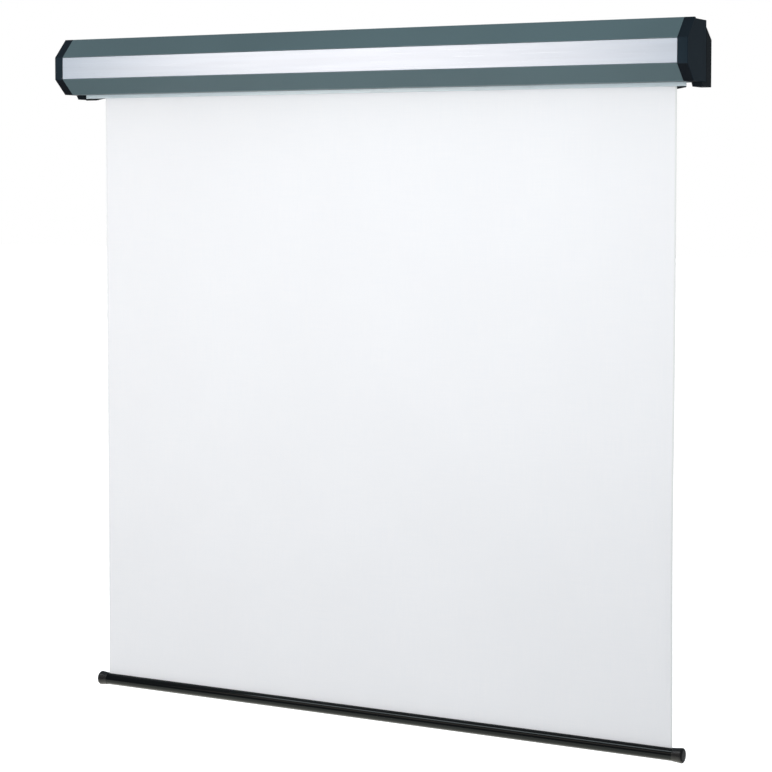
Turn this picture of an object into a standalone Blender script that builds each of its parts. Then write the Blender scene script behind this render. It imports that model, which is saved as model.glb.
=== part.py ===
"""Motor-driven projection screen with an octagonal casing, lowered.

X runs along the casing, Y towards the wall and Z up, in metres. The wall is the plane y = 0 and the
roller turns about a line at z = 0. Sections of the casing are drawn as (depth, height) pairs, with
depth measured back from the front face and height up from the casing's underside.
"""
from math import acos, asin, atan2, cos, hypot, pi, radians, sin

import bmesh
import bpy
from mathutils import Matrix, Vector

# Sheet
SHEET_WIDTH = 1.524
SHEET_DROP = 1.478
SHEET_THICKNESS = 0.0005

# Casing
CASE_HEIGHT = 0.140
CASE_DEPTH = 0.119
CASE_WALL = 0.002
UPPER_CHAMFER_DEPTH = 0.044
UPPER_CHAMFER_HEIGHT = 0.048
LOWER_CHAMFER_DEPTH = 0.041
LOWER_CHAMFER_HEIGHT = 0.039
TOP_LAND = 0.004
TOP_STEP = 0.0045
TRIM_THICKNESS = 0.0012
TRIM_LAND = 0.0008
CHANNEL_WIDTH = 0.0044
CHANNEL_RIB = 0.0015
CHANNEL_DEPTH = 0.008
CHANNEL_FLOOR = 0.0003
TOP_CHANNEL_DEPTH = 0.086
BOTTOM_CHANNEL_DEPTH = 0.062
HANG_RIB = 0.0018
HANG_GROOVE = 0.0037
HANG_DEPTH = 0.0122
HANG_BELOW_TOP = 0.0233

# Slot along the underside
SLOT_FRONT = 0.0048
SLOT_REAR = 0.0052
SLOT_FLANGE = 0.008
LIP_WALL = 0.0018
LIP_DROP = 0.0098
LIP_TAIL = 0.005
RAIL_DROP = 0.0130
STRIP_INSET = 0.0095

# End caps and their screws
CAP_RIM = 0.0243
CAP_WALL = 0.0025
CAP_EDGE = 0.0016
EAR_WALL = 0.003
EAR_REACH = 0.0125
EAR_LOW = 0.028
EAR_HIGH = 0.102
CAP_SCREW_INSET = 0.006
CAP_SCREW_HEIGHTS = (0.040, 0.090)
CAP_SCREW_RADIUS = 0.0016
CAP_SCREW_HEAD = 0.0034
CAP_SCREW_HEAD_DEPTH = 0.0020
CAP_SCREW_LENGTH = 0.008

# Wall brackets
WALL_GAP = 0.034
BRACKET_WALL = 0.003
BRACKET_EDGE = 0.0006
BRACKET_TOP_FRONT = 0.122
BRACKET_TOP_REAR = 0.099
FOOT_HEIGHT = 0.0097
FOOT_REACH = 0.0292
FOOT_SLANT = 0.0069
FLANGE_REACH = 0.0592
FLANGE_CORNER = 0.008
FLANGE_LOW = 0.002
WALL_SLOT_RADIUS = 0.0035
WALL_SLOT_LENGTH = 0.024
WALL_SLOT_INBOARD = 0.0372
WALL_SLOT_HEIGHTS = (0.018, 0.062)
TONGUE_NEAR = 0.013
TONGUE_FAR = 0.026
TONGUE_WEB_HEIGHT = 0.086
LOCK_SCREW_RADIUS = 0.0022
LOCK_SCREW_HEAD = 0.0044
LOCK_SCREW_HEAD_DEPTH = 0.0028
LOCK_SCREW_LENGTH = 0.019
LOCK_SCREW_BACK = 0.013
LOCK_BOSS_RADIUS = 0.0055
LOCK_BOSS_HEIGHT = 0.012

# Roller
AXIS_DEPTH = 0.060
AXIS_HEIGHT = 0.070
TUBE_RADIUS = 0.030
TUBE_WALL = 0.0016
ROLL_BUILD = 0.0012
TUBE_PAST_SHEET_LEFT = 0.0252
TUBE_PAST_SHEET_RIGHT = 0.012
CROWN_RUN = 0.0009
PLUG_RUN = 0.0167
KEY_RADIUS = 0.0022
KEY_CENTRE_IN = 0.0028
KEY_WALL = 0.0013
KEY_MOUTH = 0.0026
SPLINE_RADIUS = 0.0018

# Motor
MOTOR_RADIUS = 0.0225
MOTOR_LENGTH = 0.480
HEAD_RADIUS = 0.0245
HEAD_LENGTH = 0.034
LIMIT_BOX_WIDTH = 0.030
LIMIT_BOX_HEIGHT = 0.018
LIMIT_BOX_PAST_SCREW = 0.007
LIMIT_BOX_EDGE = 0.0015
LIMIT_SCREW_SPACING = 0.014
LIMIT_SCREW_HEAD = 0.0032
LIMIT_SCREW_HEAD_DEPTH = 0.0040
LIMIT_SCREW_EDGE = 0.0006
LIMIT_SCREW_SHANK = 0.0018
LIMIT_SCREW_LENGTH = 0.010
LIMIT_SOCKET = 0.0019
LIMIT_SOCKET_DEPTH = 0.0025
MOTOR_PIN = 0.010
MOTOR_PIN_EDGE = 0.0012
MOTOR_PIN_INSIDE = 0.009
MOTOR_PIN_OUTSIDE = 0.0125
CLIP_WIRE = 0.0009
CROWN_FLANGE = 0.0048
CROWN_SLEEVE = 0.018
CROWN_TEETH = 20
CROWN_TOOTH = 0.0012
CROWN_FLANK = radians(1.2)
SHAFT_SIZE = 0.012
SHAFT_EDGE = 0.002
SHAFT_LENGTH = 0.036
WHEEL_WIDTH = 0.018
WHEEL_SPOKES = 5
WHEEL_RIB = 0.003
WHEEL_HUB_WALL = 0.0025
WHEEL_RIM_WALL = 0.0013
DRIVE_SCREW_RADIUS = 0.0025
DRIVE_SCREW_HEAD = 0.0085
DRIVE_SCREW_HEAD_DEPTH = 0.003
DRIVE_SCREW_LENGTH = 0.016

# End plates and their screws
PLATE_THICKNESS = 0.0028
PLATE_REAR_CLEAR = 0.0058
PLATE_SCREW_RADIUS = 0.0019
PLATE_SCREW_HEAD = 0.0034
PLATE_SCREW_HEAD_DEPTH = 0.0022
PLATE_SCREW_LENGTH = 0.012

# Idler
PIN_RADIUS = 0.004
PIN_COLLAR_RADIUS = 0.0066
PIN_COLLAR_LENGTH = 0.0060
PIN_SHOULDER_LENGTH = 0.003
PIN_PAST_BEARING = 0.006
PIN_PAST_NUT = 0.003
PIN_CHAMFER = 0.0006
NUT_ACROSS = 0.013
NUT_HEIGHT = 0.0065
BEARING_RADIUS = 0.011
BEARING_WIDTH = 0.007
RING_WALL = 0.0019
SHIELD_SHARE = 0.12
PLUG_FLANGE = 0.0042
PLUG_SLEEVE = 0.024
PLUG_WALL = 0.0028
CIRCLIP_RADIUS = 0.0066
CIRCLIP_THICKNESS = 0.0009
CIRCLIP_GROOVE = 0.0006
CIRCLIP_GAP = radians(38)

# Supply lead's inlet
GROMMET_BORE = 0.0035
GROMMET_RADIUS = 0.0058
GROMMET_FLANGE = 0.0080
GROMMET_LIP = 0.0014
GROMMET_BACK = 0.0208

# Weight bar
BAR_RADIUS = 0.0133
BAR_WALL = 0.0018
BAR_KEY_RADIUS = 0.0034
BAR_KEY_CENTRE_IN = 0.0045
BAR_KEY_WALL = 0.0015
BAR_MOUTH = 0.0026
HEM_ROD_RADIUS = 0.0027
BAR_PAST_SHEET = 0.014
BAR_CAP_RADIUS = 0.0157
BAR_CAP_START = 0.0015
BAR_CAP_LENGTH = 0.026
BAR_CAP_FLARE = 0.0015
BAR_CAP_DOME = 0.005
BAR_CAP_SKIRT = 0.004

# Fits
SEAT = 0.0003
HOLE_CLEAR = 0.0004
RUN_CLEAR = 0.0005

# Derived places: the drive at the left takes more room than the idler, which sets the sheet off-centre
DRIVE_SIDE = HEAD_LENGTH + CROWN_RUN + CROWN_FLANGE + SEAT + TUBE_PAST_SHEET_LEFT
IDLER_SIDE = TUBE_PAST_SHEET_RIGHT + SEAT + PLUG_FLANGE + PLUG_RUN
CASE_LENGTH = SHEET_WIDTH + DRIVE_SIDE + IDLER_SIDE
SHEET_SHIFT = (DRIVE_SIDE - IDLER_SIDE) / 2
FRONT_Y = -(CASE_DEPTH + WALL_GAP)
UNDERSIDE_Z = -AXIS_HEIGHT
AXIS_Y = FRONT_Y + AXIS_DEPTH
CASE_END = CASE_LENGTH / 2
CAP_FACE = CASE_END + CAP_RIM
SHEET_LEFT = SHEET_SHIFT - SHEET_WIDTH / 2
SHEET_RIGHT = SHEET_SHIFT + SHEET_WIDTH / 2
ROLL_RADIUS = TUBE_RADIUS + ROLL_BUILD
SHEET_DEPTH = AXIS_DEPTH + ROLL_RADIUS + SEAT + SHEET_THICKNESS / 2
LIP_BACK = SHEET_DEPTH - SLOT_FRONT
RAIL_FRONT = SHEET_DEPTH + SLOT_REAR
FRONT_FLANGE = LIP_BACK - LIP_WALL - SEAT
REAR_FLANGE = RAIL_FRONT + LIP_WALL + SEAT
BAR_TOP_Z = UNDERSIDE_Z - SHEET_DROP
BAR_Z = BAR_TOP_Z - BAR_RADIUS
TUBE_LEFT = SHEET_LEFT - TUBE_PAST_SHEET_LEFT
TUBE_RIGHT = SHEET_RIGHT + TUBE_PAST_SHEET_RIGHT
TUBE_BORE = TUBE_RADIUS - TUBE_WALL
HANG_HEIGHT = CASE_HEIGHT - HANG_BELOW_TOP
PLATE_INNER = CASE_END + SEAT
PLATE_OUTER = PLATE_INNER + PLATE_THICKNESS
LIMIT_DEPTH = SHEET_DEPTH

# Rotations that carry a flat outline out of the XY plane
ALONG_X = (pi / 2, 0, pi / 2)
ALONG_Y = (pi / 2, 0, 0)
ALONG_Z = (0, 0, 0)
ROUND = 44

# Colours as seen, red, green, blue from 0 to 255, then roughness and metallic
FINISHES = {
    "slate": ((88, 106, 111), 0.42, 0.25),
    "silver": ((214, 224, 234), 0.30, 0.70),
    "light_lip": ((188, 197, 203), 0.45, 0.30),
    "black_plastic": ((34, 42, 50), 0.50, 0.0),
    "black_steel": ((30, 35, 40), 0.45, 0.30),
    "black_bar": ((22, 23, 24), 0.30, 0.30),
    "sheet": ((243, 245, 248), 0.90, 0.0),
    "aluminium": ((190, 194, 198), 0.35, 0.90),
    "zinc": ((165, 168, 166), 0.38, 0.90),
    "steel": ((120, 124, 128), 0.35, 0.90),
    "rubber": ((26, 26, 27), 0.80, 0.0),
    "nylon": ((206, 206, 200), 0.55, 0.0),
    "yellow_plastic": ((226, 190, 40), 0.50, 0.0),
}


def linear(level):
    """A display colour level from 0 to 255 as linear light from 0 to 1."""
    level = level / 255
    return level / 12.92 if level <= 0.04045 else ((level + 0.055) / 1.055) ** 2.4


def paint(obj, finish):
    """Give the object its own material in one of the finishes."""
    colour, roughness, metallic = FINISHES[finish]
    material = bpy.data.materials.new(obj.name)
    material.use_nodes = True
    shader = material.node_tree.nodes["Principled BSDF"]
    shader.inputs["Base Color"].default_value = [linear(level) for level in colour] + [1]
    shader.inputs["Roughness"].default_value = roughness
    shader.inputs["Metallic"].default_value = metallic
    obj.data.materials.append(material)


def place(obj, finish=None, parent=None):
    """Put a finished piece in the part's collection, or a cutter in the cutters' one."""
    if finish is None:
        cutters.objects.link(obj)
        obj.hide_render = True
        obj.display_type = "WIRE"
    else:
        screen.objects.link(obj)
        paint(obj, finish)
    obj.parent = parent
    return obj


def flat_curve(name, loops, depth, turn, centre):
    """A filled outline, with any further loops as holes, drawn through its thickness."""
    curve = bpy.data.curves.new(name, "CURVE")
    curve.dimensions = "2D"
    curve.fill_mode = "BOTH"
    curve.extrude = depth / 2
    for loop in loops:
        spline = curve.splines.new("POLY")
        spline.points.add(len(loop) - 1)
        for point, (a, b) in zip(spline.points, loop):
            point.co = (a, b, 0, 1)
        spline.use_cyclic_u = True
    obj = bpy.data.objects.new(name, curve)
    obj.rotation_euler = turn
    obj.location = centre
    return obj


def as_mesh(obj):
    """The same object as a mesh with its caps welded on, in place of the curve."""
    screen.objects.link(obj)
    bpy.context.view_layer.update()
    evaluated = obj.evaluated_get(bpy.context.evaluated_depsgraph_get())
    mesh = bpy.data.meshes.new_from_object(evaluated)
    name, world = obj.name, obj.matrix_world.copy()
    bpy.data.objects.remove(obj)
    work = bmesh.new()
    work.from_mesh(mesh)
    bmesh.ops.remove_doubles(work, verts=work.verts, dist=0.00001)
    bmesh.ops.dissolve_limit(work, angle_limit=0.001, verts=work.verts, edges=work.edges)
    work.to_mesh(mesh)
    work.free()
    mesh.name = name
    made = bpy.data.objects.new(name, mesh)
    made.matrix_world = world
    return made


def along_x(name, loops, x_low, x_high, finish=None, mesh=False):
    """A casing section, drawn in (depth, height), carried along X."""
    centre = ((x_low + x_high) / 2, FRONT_Y, UNDERSIDE_Z)
    obj = flat_curve(name, loops, x_high - x_low, ALONG_X, centre)
    return place(as_mesh(obj) if mesh else obj, finish)


def about_axis(name, loops, x_low, x_high, finish, parent=None, mesh=False):
    """A section drawn about the roller's axis, in (y, z), carried along X."""
    centre_y = 0 if parent else AXIS_Y
    obj = flat_curve(name, loops, x_high - x_low, ALONG_X, ((x_low + x_high) / 2, centre_y, 0))
    return place(as_mesh(obj) if mesh else obj, finish, parent)


def turned(name, profile, turn, centre, finish=None, parent=None, closed=False, steps=ROUND):
    """A profile of (radius, height), down its outer side, turned about its own Z."""
    mesh = bpy.data.meshes.new(name)
    edges = [(i, i + 1) for i in range(len(profile) - 1)]
    if closed:
        edges.append((len(profile) - 1, 0))
    mesh.from_pydata([(radius, 0, height) for radius, height in profile], edges, [])
    obj = bpy.data.objects.new(name, mesh)
    screw = obj.modifiers.new("turn", "SCREW")
    screw.axis = "Z"
    screw.angle = 2 * pi
    screw.steps = screw.render_steps = steps
    screw.use_merge_vertices = True
    screw.merge_threshold = 0.00001
    screw.use_smooth_shade = False
    obj.rotation_euler = turn
    obj.location = centre
    return place(obj, finish, parent)


def rod(name, radius, turn, centre, length, finish=None, parent=None, sides=24):
    """A plain round bar along its own Z."""
    work = bmesh.new()
    bmesh.ops.create_cone(work, cap_ends=True, segments=sides, radius1=radius, radius2=radius, depth=length)
    mesh = bpy.data.meshes.new(name)
    work.to_mesh(mesh)
    work.free()
    mesh.shade_smooth()
    mesh.set_sharp_from_angle(angle=radians(40))
    obj = bpy.data.objects.new(name, mesh)
    obj.rotation_euler = turn
    obj.location = centre
    return place(obj, finish, parent)


def box(name, low, high, finish=None, parent=None):
    """A block between two corners, with its scale in its mesh."""
    low, high = Vector(low), Vector(high)
    work = bmesh.new()
    bmesh.ops.create_cube(work, size=1, matrix=Matrix.Diagonal((high - low).to_4d()))
    mesh = bpy.data.meshes.new(name)
    work.to_mesh(mesh)
    work.free()
    obj = bpy.data.objects.new(name, mesh)
    obj.location = (low + high) / 2
    return place(obj, finish, parent)


def case_box(name, x_span, depth_span, height_span):
    """A cutter or a joined block given in the casing's depth and height."""
    low = (min(x_span), FRONT_Y + depth_span[0], UNDERSIDE_Z + height_span[0])
    high = (max(x_span), FRONT_Y + depth_span[1], UNDERSIDE_Z + height_span[1])
    return box(name, low, high)


def combine(target, other, operation):
    """Cut the other shape from the target, or join it on."""
    boolean = target.modifiers.new(operation.lower() + " " + other.name, "BOOLEAN")
    boolean.operation = operation
    boolean.solver = "EXACT"
    boolean.object = other


def bevel(obj, width, segments=2, limit="ANGLE"):
    modifier = obj.modifiers.new("round edges", "BEVEL")
    modifier.width = width
    modifier.segments = segments
    modifier.limit_method = limit
    modifier.angle_limit = radians(40)


def circle(radius, count=ROUND, phase=0.0, centre=(0, 0)):
    step = 2 * pi / count
    return [(centre[0] + radius * cos(phase + i * step), centre[1] + radius * sin(phase + i * step))
            for i in range(count)]


def arc(centre, radius, start, stop, count):
    """Points on an arc from the start angle to the stop angle, both ends included."""
    angles = [start + (stop - start) * i / count for i in range(count + 1)]
    return [(centre[0] + radius * cos(angle), centre[1] + radius * sin(angle)) for angle in angles]


def rectangle(width, height, corner, centre=(0, 0), count=4):
    """A rectangle with round corners, anticlockwise."""
    points = []
    for quarter, (sx, sy) in enumerate(((1, 1), (-1, 1), (-1, -1), (1, -1))):
        middle = (centre[0] + sx * (width / 2 - corner), centre[1] + sy * (height / 2 - corner))
        points += arc(middle, corner, quarter * pi / 2, (quarter + 1) * pi / 2, count)
    return points


def inset(points, walls, closed=False):
    """Move each edge of an outline to its left by its wall, and meet again at the corners."""
    count = len(points)
    lines = []
    for i in range(count if closed else count - 1):
        (ax, ay), (bx, by) = points[i], points[(i + 1) % count]
        length = hypot(bx - ax, by - ay)
        nx, ny = -(by - ay) / length, (bx - ax) / length
        wall = walls[i] if isinstance(walls, (list, tuple)) else walls
        lines.append((nx, ny, nx * ax + ny * ay + wall))
    made = []
    for i in range(count):
        if not closed and i in (0, count - 1):
            nx, ny, level = lines[0] if i == 0 else lines[-1]
            shift = level - nx * points[i][0] - ny * points[i][1]
            made.append((points[i][0] + nx * shift, points[i][1] + ny * shift))
            continue
        n1x, n1y, l1 = lines[i - 1]
        n2x, n2y, l2 = lines[i % len(lines)]
        det = n1x * n2y - n2x * n1y
        made.append(((l1 * n2y - l2 * n1y) / det, (n1x * l2 - n2x * l1) / det))
    return made


def keyed_tube(radius, wall, key_radius, centre_in, key_wall, mouth, facing):
    """Outer and inner outline of a tube with a round keyway just under its skin.

    The keyway is a circle whose centre lies centre_in below the surface, open through a mouth, and
    the wall swells inwards round it. It faces the given angle.
    """
    key_at = radius - centre_in
    half = mouth / 2
    skin_angle = asin(half / radius)
    mouth_angle = asin(half / key_radius)
    outer = arc((0, 0), radius, skin_angle, 2 * pi - skin_angle, ROUND)
    outer += arc((key_at, 0), key_radius, -mouth_angle, mouth_angle - 2 * pi, 14)
    bore = radius - wall
    swell = key_radius + key_wall
    bore_angle = acos((bore ** 2 + key_at ** 2 - swell ** 2) / (2 * bore * key_at))
    swell_angle = atan2(bore * sin(bore_angle), bore * cos(bore_angle) - key_at)
    inner = arc((0, 0), bore, bore_angle, 2 * pi - bore_angle, ROUND)
    inner += arc((key_at, 0), swell, -swell_angle, swell_angle - 2 * pi, 10)[1:-1]
    c, s = cos(facing), sin(facing)
    return [[(x * c - y * s, x * s + y * c) for x, y in loop] for loop in (outer, inner)]


def screw_piece(name, head, head_depth, shank, length, turn, centre, finish, parent=None):
    """A pan-head screw: its head stands on +Z of the centre and its shank runs down from it."""
    dome = [(head * cos(angle), head_depth * (0.45 + 0.55 * sin(angle)))
            for angle in (pi / 2, pi / 3, pi / 6, 0)]
    dome[0] = (0, dome[0][1])
    tip = shank * 0.55
    profile = dome + [(head, 0), (shank, 0), (shank, tip - length), (shank - tip * 0.8, -length), (0, -length)]
    return turned(name, profile, turn, centre, finish, parent, steps=16)


def casing_profile():
    """The octagonal section's outer corners, clockwise from the underside's front corner.

    The inside is on the right, so an inset by a negative wall moves an edge inwards.
    """
    step_run = TOP_STEP * UPPER_CHAMFER_DEPTH / UPPER_CHAMFER_HEIGHT
    return [(LOWER_CHAMFER_DEPTH, 0),
            (0, LOWER_CHAMFER_HEIGHT),
            (0, CASE_HEIGHT - UPPER_CHAMFER_HEIGHT),
            (UPPER_CHAMFER_DEPTH, CASE_HEIGHT),
            (UPPER_CHAMFER_DEPTH + TOP_LAND, CASE_HEIGHT),
            (UPPER_CHAMFER_DEPTH + TOP_LAND + step_run, CASE_HEIGHT - TOP_STEP),
            (CASE_DEPTH, CASE_HEIGHT - TOP_STEP),
            (CASE_DEPTH, 0)]


def channel(at, along, inward):
    """Two ribs on an inner wall, a screw's width apart, with a floor sunk a little into the wall."""
    def point(slide, rise):
        return (at[0] + along[0] * slide + inward[0] * rise, at[1] + along[1] * slide + inward[1] * rise)
    near = CHANNEL_WIDTH / 2
    far = near + CHANNEL_RIB
    return [point(-far, 0), point(-far, CHANNEL_DEPTH),
            point(-near, CHANNEL_DEPTH), point(-near, -CHANNEL_FLOOR),
            point(near, -CHANNEL_FLOOR), point(near, CHANNEL_DEPTH),
            point(far, CHANNEL_DEPTH), point(far, 0)]


# Where the plate screws run, as (depth, height) in the casing's section
CHANNEL_MIDDLE = CHANNEL_DEPTH * 0.6
FRONT_WALL_BACK = TRIM_THICKNESS + SEAT + CASE_WALL
BAND_MIDDLE = (LOWER_CHAMFER_HEIGHT + CASE_HEIGHT - UPPER_CHAMFER_HEIGHT) / 2
SCREW_PLACES = (
    (FRONT_WALL_BACK + CHANNEL_MIDDLE, BAND_MIDDLE),
    (TOP_CHANNEL_DEPTH, CASE_HEIGHT - TOP_STEP - CASE_WALL - CHANNEL_MIDDLE),
    (BOTTOM_CHANNEL_DEPTH, CASE_WALL + CHANNEL_MIDDLE),
)


def make_casing():
    """The C-profile: recess for the trim, screw channels, slot flanges and a hanging rib behind."""
    corners = casing_profile()
    front_low, front_high = corners[1], corners[2]
    recess = TRIM_THICKNESS + SEAT
    hang_out = CASE_DEPTH + HANG_GROOVE + HANG_RIB
    outer = [(FRONT_FLANGE, 0), corners[0], front_low,
             (0, front_low[1] + TRIM_LAND), (recess, front_low[1] + TRIM_LAND),
             (recess, front_high[1] - TRIM_LAND), (0, front_high[1] - TRIM_LAND)]
    outer += corners[2:7]
    outer += [(CASE_DEPTH, HANG_HEIGHT), (hang_out, HANG_HEIGHT), (hang_out, HANG_HEIGHT - HANG_DEPTH),
              (hang_out - HANG_RIB, HANG_HEIGHT - HANG_DEPTH), (hang_out - HANG_RIB, HANG_HEIGHT - HANG_RIB),
              (CASE_DEPTH, HANG_HEIGHT - HANG_RIB), (CASE_DEPTH, 0), (REAR_FLANGE, 0)]
    walls = [-CASE_WALL, -CASE_WALL, -(recess + CASE_WALL)] + [-CASE_WALL] * 6
    shell = [(FRONT_FLANGE, 0)] + corners + [(REAR_FLANGE, 0)]
    inner = inset(shell, walls)
    top = inner[7][1]
    rear_flange = [(REAR_FLANGE, SLOT_FLANGE), (REAR_FLANGE + CASE_WALL, SLOT_FLANGE),
                   (REAR_FLANGE + CASE_WALL, CASE_WALL)]
    front_flange = [(FRONT_FLANGE - CASE_WALL, CASE_WALL), (FRONT_FLANGE - CASE_WALL, SLOT_FLANGE),
                    (FRONT_FLANGE, SLOT_FLANGE)]
    inside = [inner[8], inner[7]]
    inside += channel((TOP_CHANNEL_DEPTH, top), (-1, 0), (0, -1))
    inside += [inner[6], inner[5], inner[4], inner[3]]
    inside += channel((FRONT_WALL_BACK, BAND_MIDDLE), (0, -1), (1, 0))
    inside += [inner[2], inner[1]]
    inside += channel((BOTTOM_CHANNEL_DEPTH, CASE_WALL), (1, 0), (0, 1))
    section = outer + rear_flange + inside + front_flange
    casing = along_x("casing_extrusion", [section], -CASE_END, CASE_END, "slate", mesh=True)
    for side in (-1, 1):
        for height in CAP_SCREW_HEIGHTS:
            hole = rod("cut_case_screw", CAP_SCREW_RADIUS + HOLE_CLEAR, ALONG_Y,
                       (side * (CASE_END - CAP_SCREW_INSET), FRONT_Y + CASE_DEPTH, UNDERSIDE_Z + height),
                       4 * CASE_WALL, sides=16)
            combine(casing, hole, "DIFFERENCE")


def make_trim():
    """Silver strip snapped into the front recess, its face flush with the chamfers' edges."""
    low = LOWER_CHAMFER_HEIGHT + TRIM_LAND + SEAT
    high = CASE_HEIGHT - UPPER_CHAMFER_HEIGHT - TRIM_LAND - SEAT
    edge = TRIM_THICKNESS / 2
    section = [(edge, low), (TRIM_THICKNESS, low), (TRIM_THICKNESS, high), (edge, high),
               (0, high - edge), (0, low + edge)]
    along_x("front_trim_strip", [section], -CASE_END, CASE_END, "silver")


def hooked_strip(name, face, away, drop, finish):
    """A strip that hooks over a slot flange and hangs below the casing with a round lower edge.

    The leg runs down at the face side, towards the sheet, and the short tail behind the flange, which
    lies towards the wall where away is 1 and towards the front where it is -1.
    """
    leg_back = face + away * LIP_WALL
    tail_front = leg_back + away * (2 * SEAT + CASE_WALL)
    tail_back = tail_front + away * LIP_WALL
    top_inside = SLOT_FLANGE + SEAT
    top = top_inside + LIP_WALL
    radius = LIP_WALL / 2
    middle = (face + leg_back) / 2
    foot = [(middle + away * x, z) for x, z in arc((0, radius - drop), radius, 0, -pi, 6)]
    section = foot + [(face, top), (tail_back, top), (tail_back, top - LIP_TAIL),
                      (tail_front, top - LIP_TAIL), (tail_front, top_inside), (leg_back, top_inside)]
    return along_x(name, [section], STRIP_INSET - CASE_END, CASE_END - STRIP_INSET, finish)


def make_end_cap(side, label):
    """Moulded cap: a hollow shell with the casing's outline, a rear ear and a boss for the lock screw."""
    outline = casing_profile()
    seam, face = side * (CASE_END + SEAT), side * CAP_FACE
    cap = along_x("end_cap_" + label, [outline], min(seam, face), max(seam, face), "black_plastic", mesh=True)
    weights = cap.data.attributes.new("bevel_weight_edge", "FLOAT", "EDGE")
    reach = max(abs((cap.matrix_world @ vertex.co).x) for vertex in cap.data.vertices)
    for edge in cap.data.edges:
        ends = [abs((cap.matrix_world @ cap.data.vertices[i].co).x) for i in edge.vertices]
        weights.data[edge.index].value = 1.0 if min(ends) > reach - SEAT else 0.0
    bevel(cap, CAP_EDGE, 3, "WEIGHT")
    hollow = inset(outline, -CAP_WALL, closed=True)
    inner_face = side * (CAP_FACE - CAP_WALL)
    open_side = side * (CASE_END - CAP_WALL)
    combine(cap, along_x("cut_cap_hollow_" + label, [hollow], min(open_side, inner_face),
                         max(open_side, inner_face), mesh=True), "DIFFERENCE")
    ear_back = CASE_DEPTH - CASE_WALL - SEAT
    ear = case_box("join_cap_ear_" + label, (side * (CASE_END - EAR_REACH), side * (CAP_FACE - CAP_WALL / 2)),
                   (ear_back - EAR_WALL, ear_back), (EAR_LOW, EAR_HIGH))
    combine(cap, ear, "UNION")
    lock = lock_screw_place(side)
    boss = rod("join_cap_boss_" + label, LOCK_BOSS_RADIUS, ALONG_Z,
               (lock[0], lock[1], UNDERSIDE_Z + LOCK_BOSS_HEIGHT / 2 + CAP_WALL / 4),
               LOCK_BOSS_HEIGHT - CAP_WALL / 2)
    combine(cap, boss, "UNION")
    combine(cap, rod("cut_cap_lock_" + label, LOCK_SCREW_RADIUS + HOLE_CLEAR, ALONG_Z,
                     (lock[0], lock[1], UNDERSIDE_Z), 4 * LOCK_BOSS_HEIGHT), "DIFFERENCE")
    for number, height in enumerate(CAP_SCREW_HEIGHTS, 1):
        place_x = side * (CASE_END - CAP_SCREW_INSET)
        combine(cap, rod("cut_cap_screw_%s_%d" % (label, number), CAP_SCREW_RADIUS + SEAT, ALONG_Y,
                         (place_x, FRONT_Y + ear_back, UNDERSIDE_Z + height), 4 * EAR_WALL, sides=16),
                "DIFFERENCE")
        screw_piece("cap_screw_%s_%d" % (label, number), CAP_SCREW_HEAD, CAP_SCREW_HEAD_DEPTH,
                    CAP_SCREW_RADIUS, CAP_SCREW_LENGTH, (-pi / 2, 0, 0),
                    (place_x, FRONT_Y + CASE_DEPTH + SEAT, UNDERSIDE_Z + height), "black_steel")
    return cap


def lock_screw_place(side):
    return (side * (CASE_END + CAP_RIM / 2), FRONT_Y + CASE_DEPTH - LOCK_SCREW_BACK)


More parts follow.
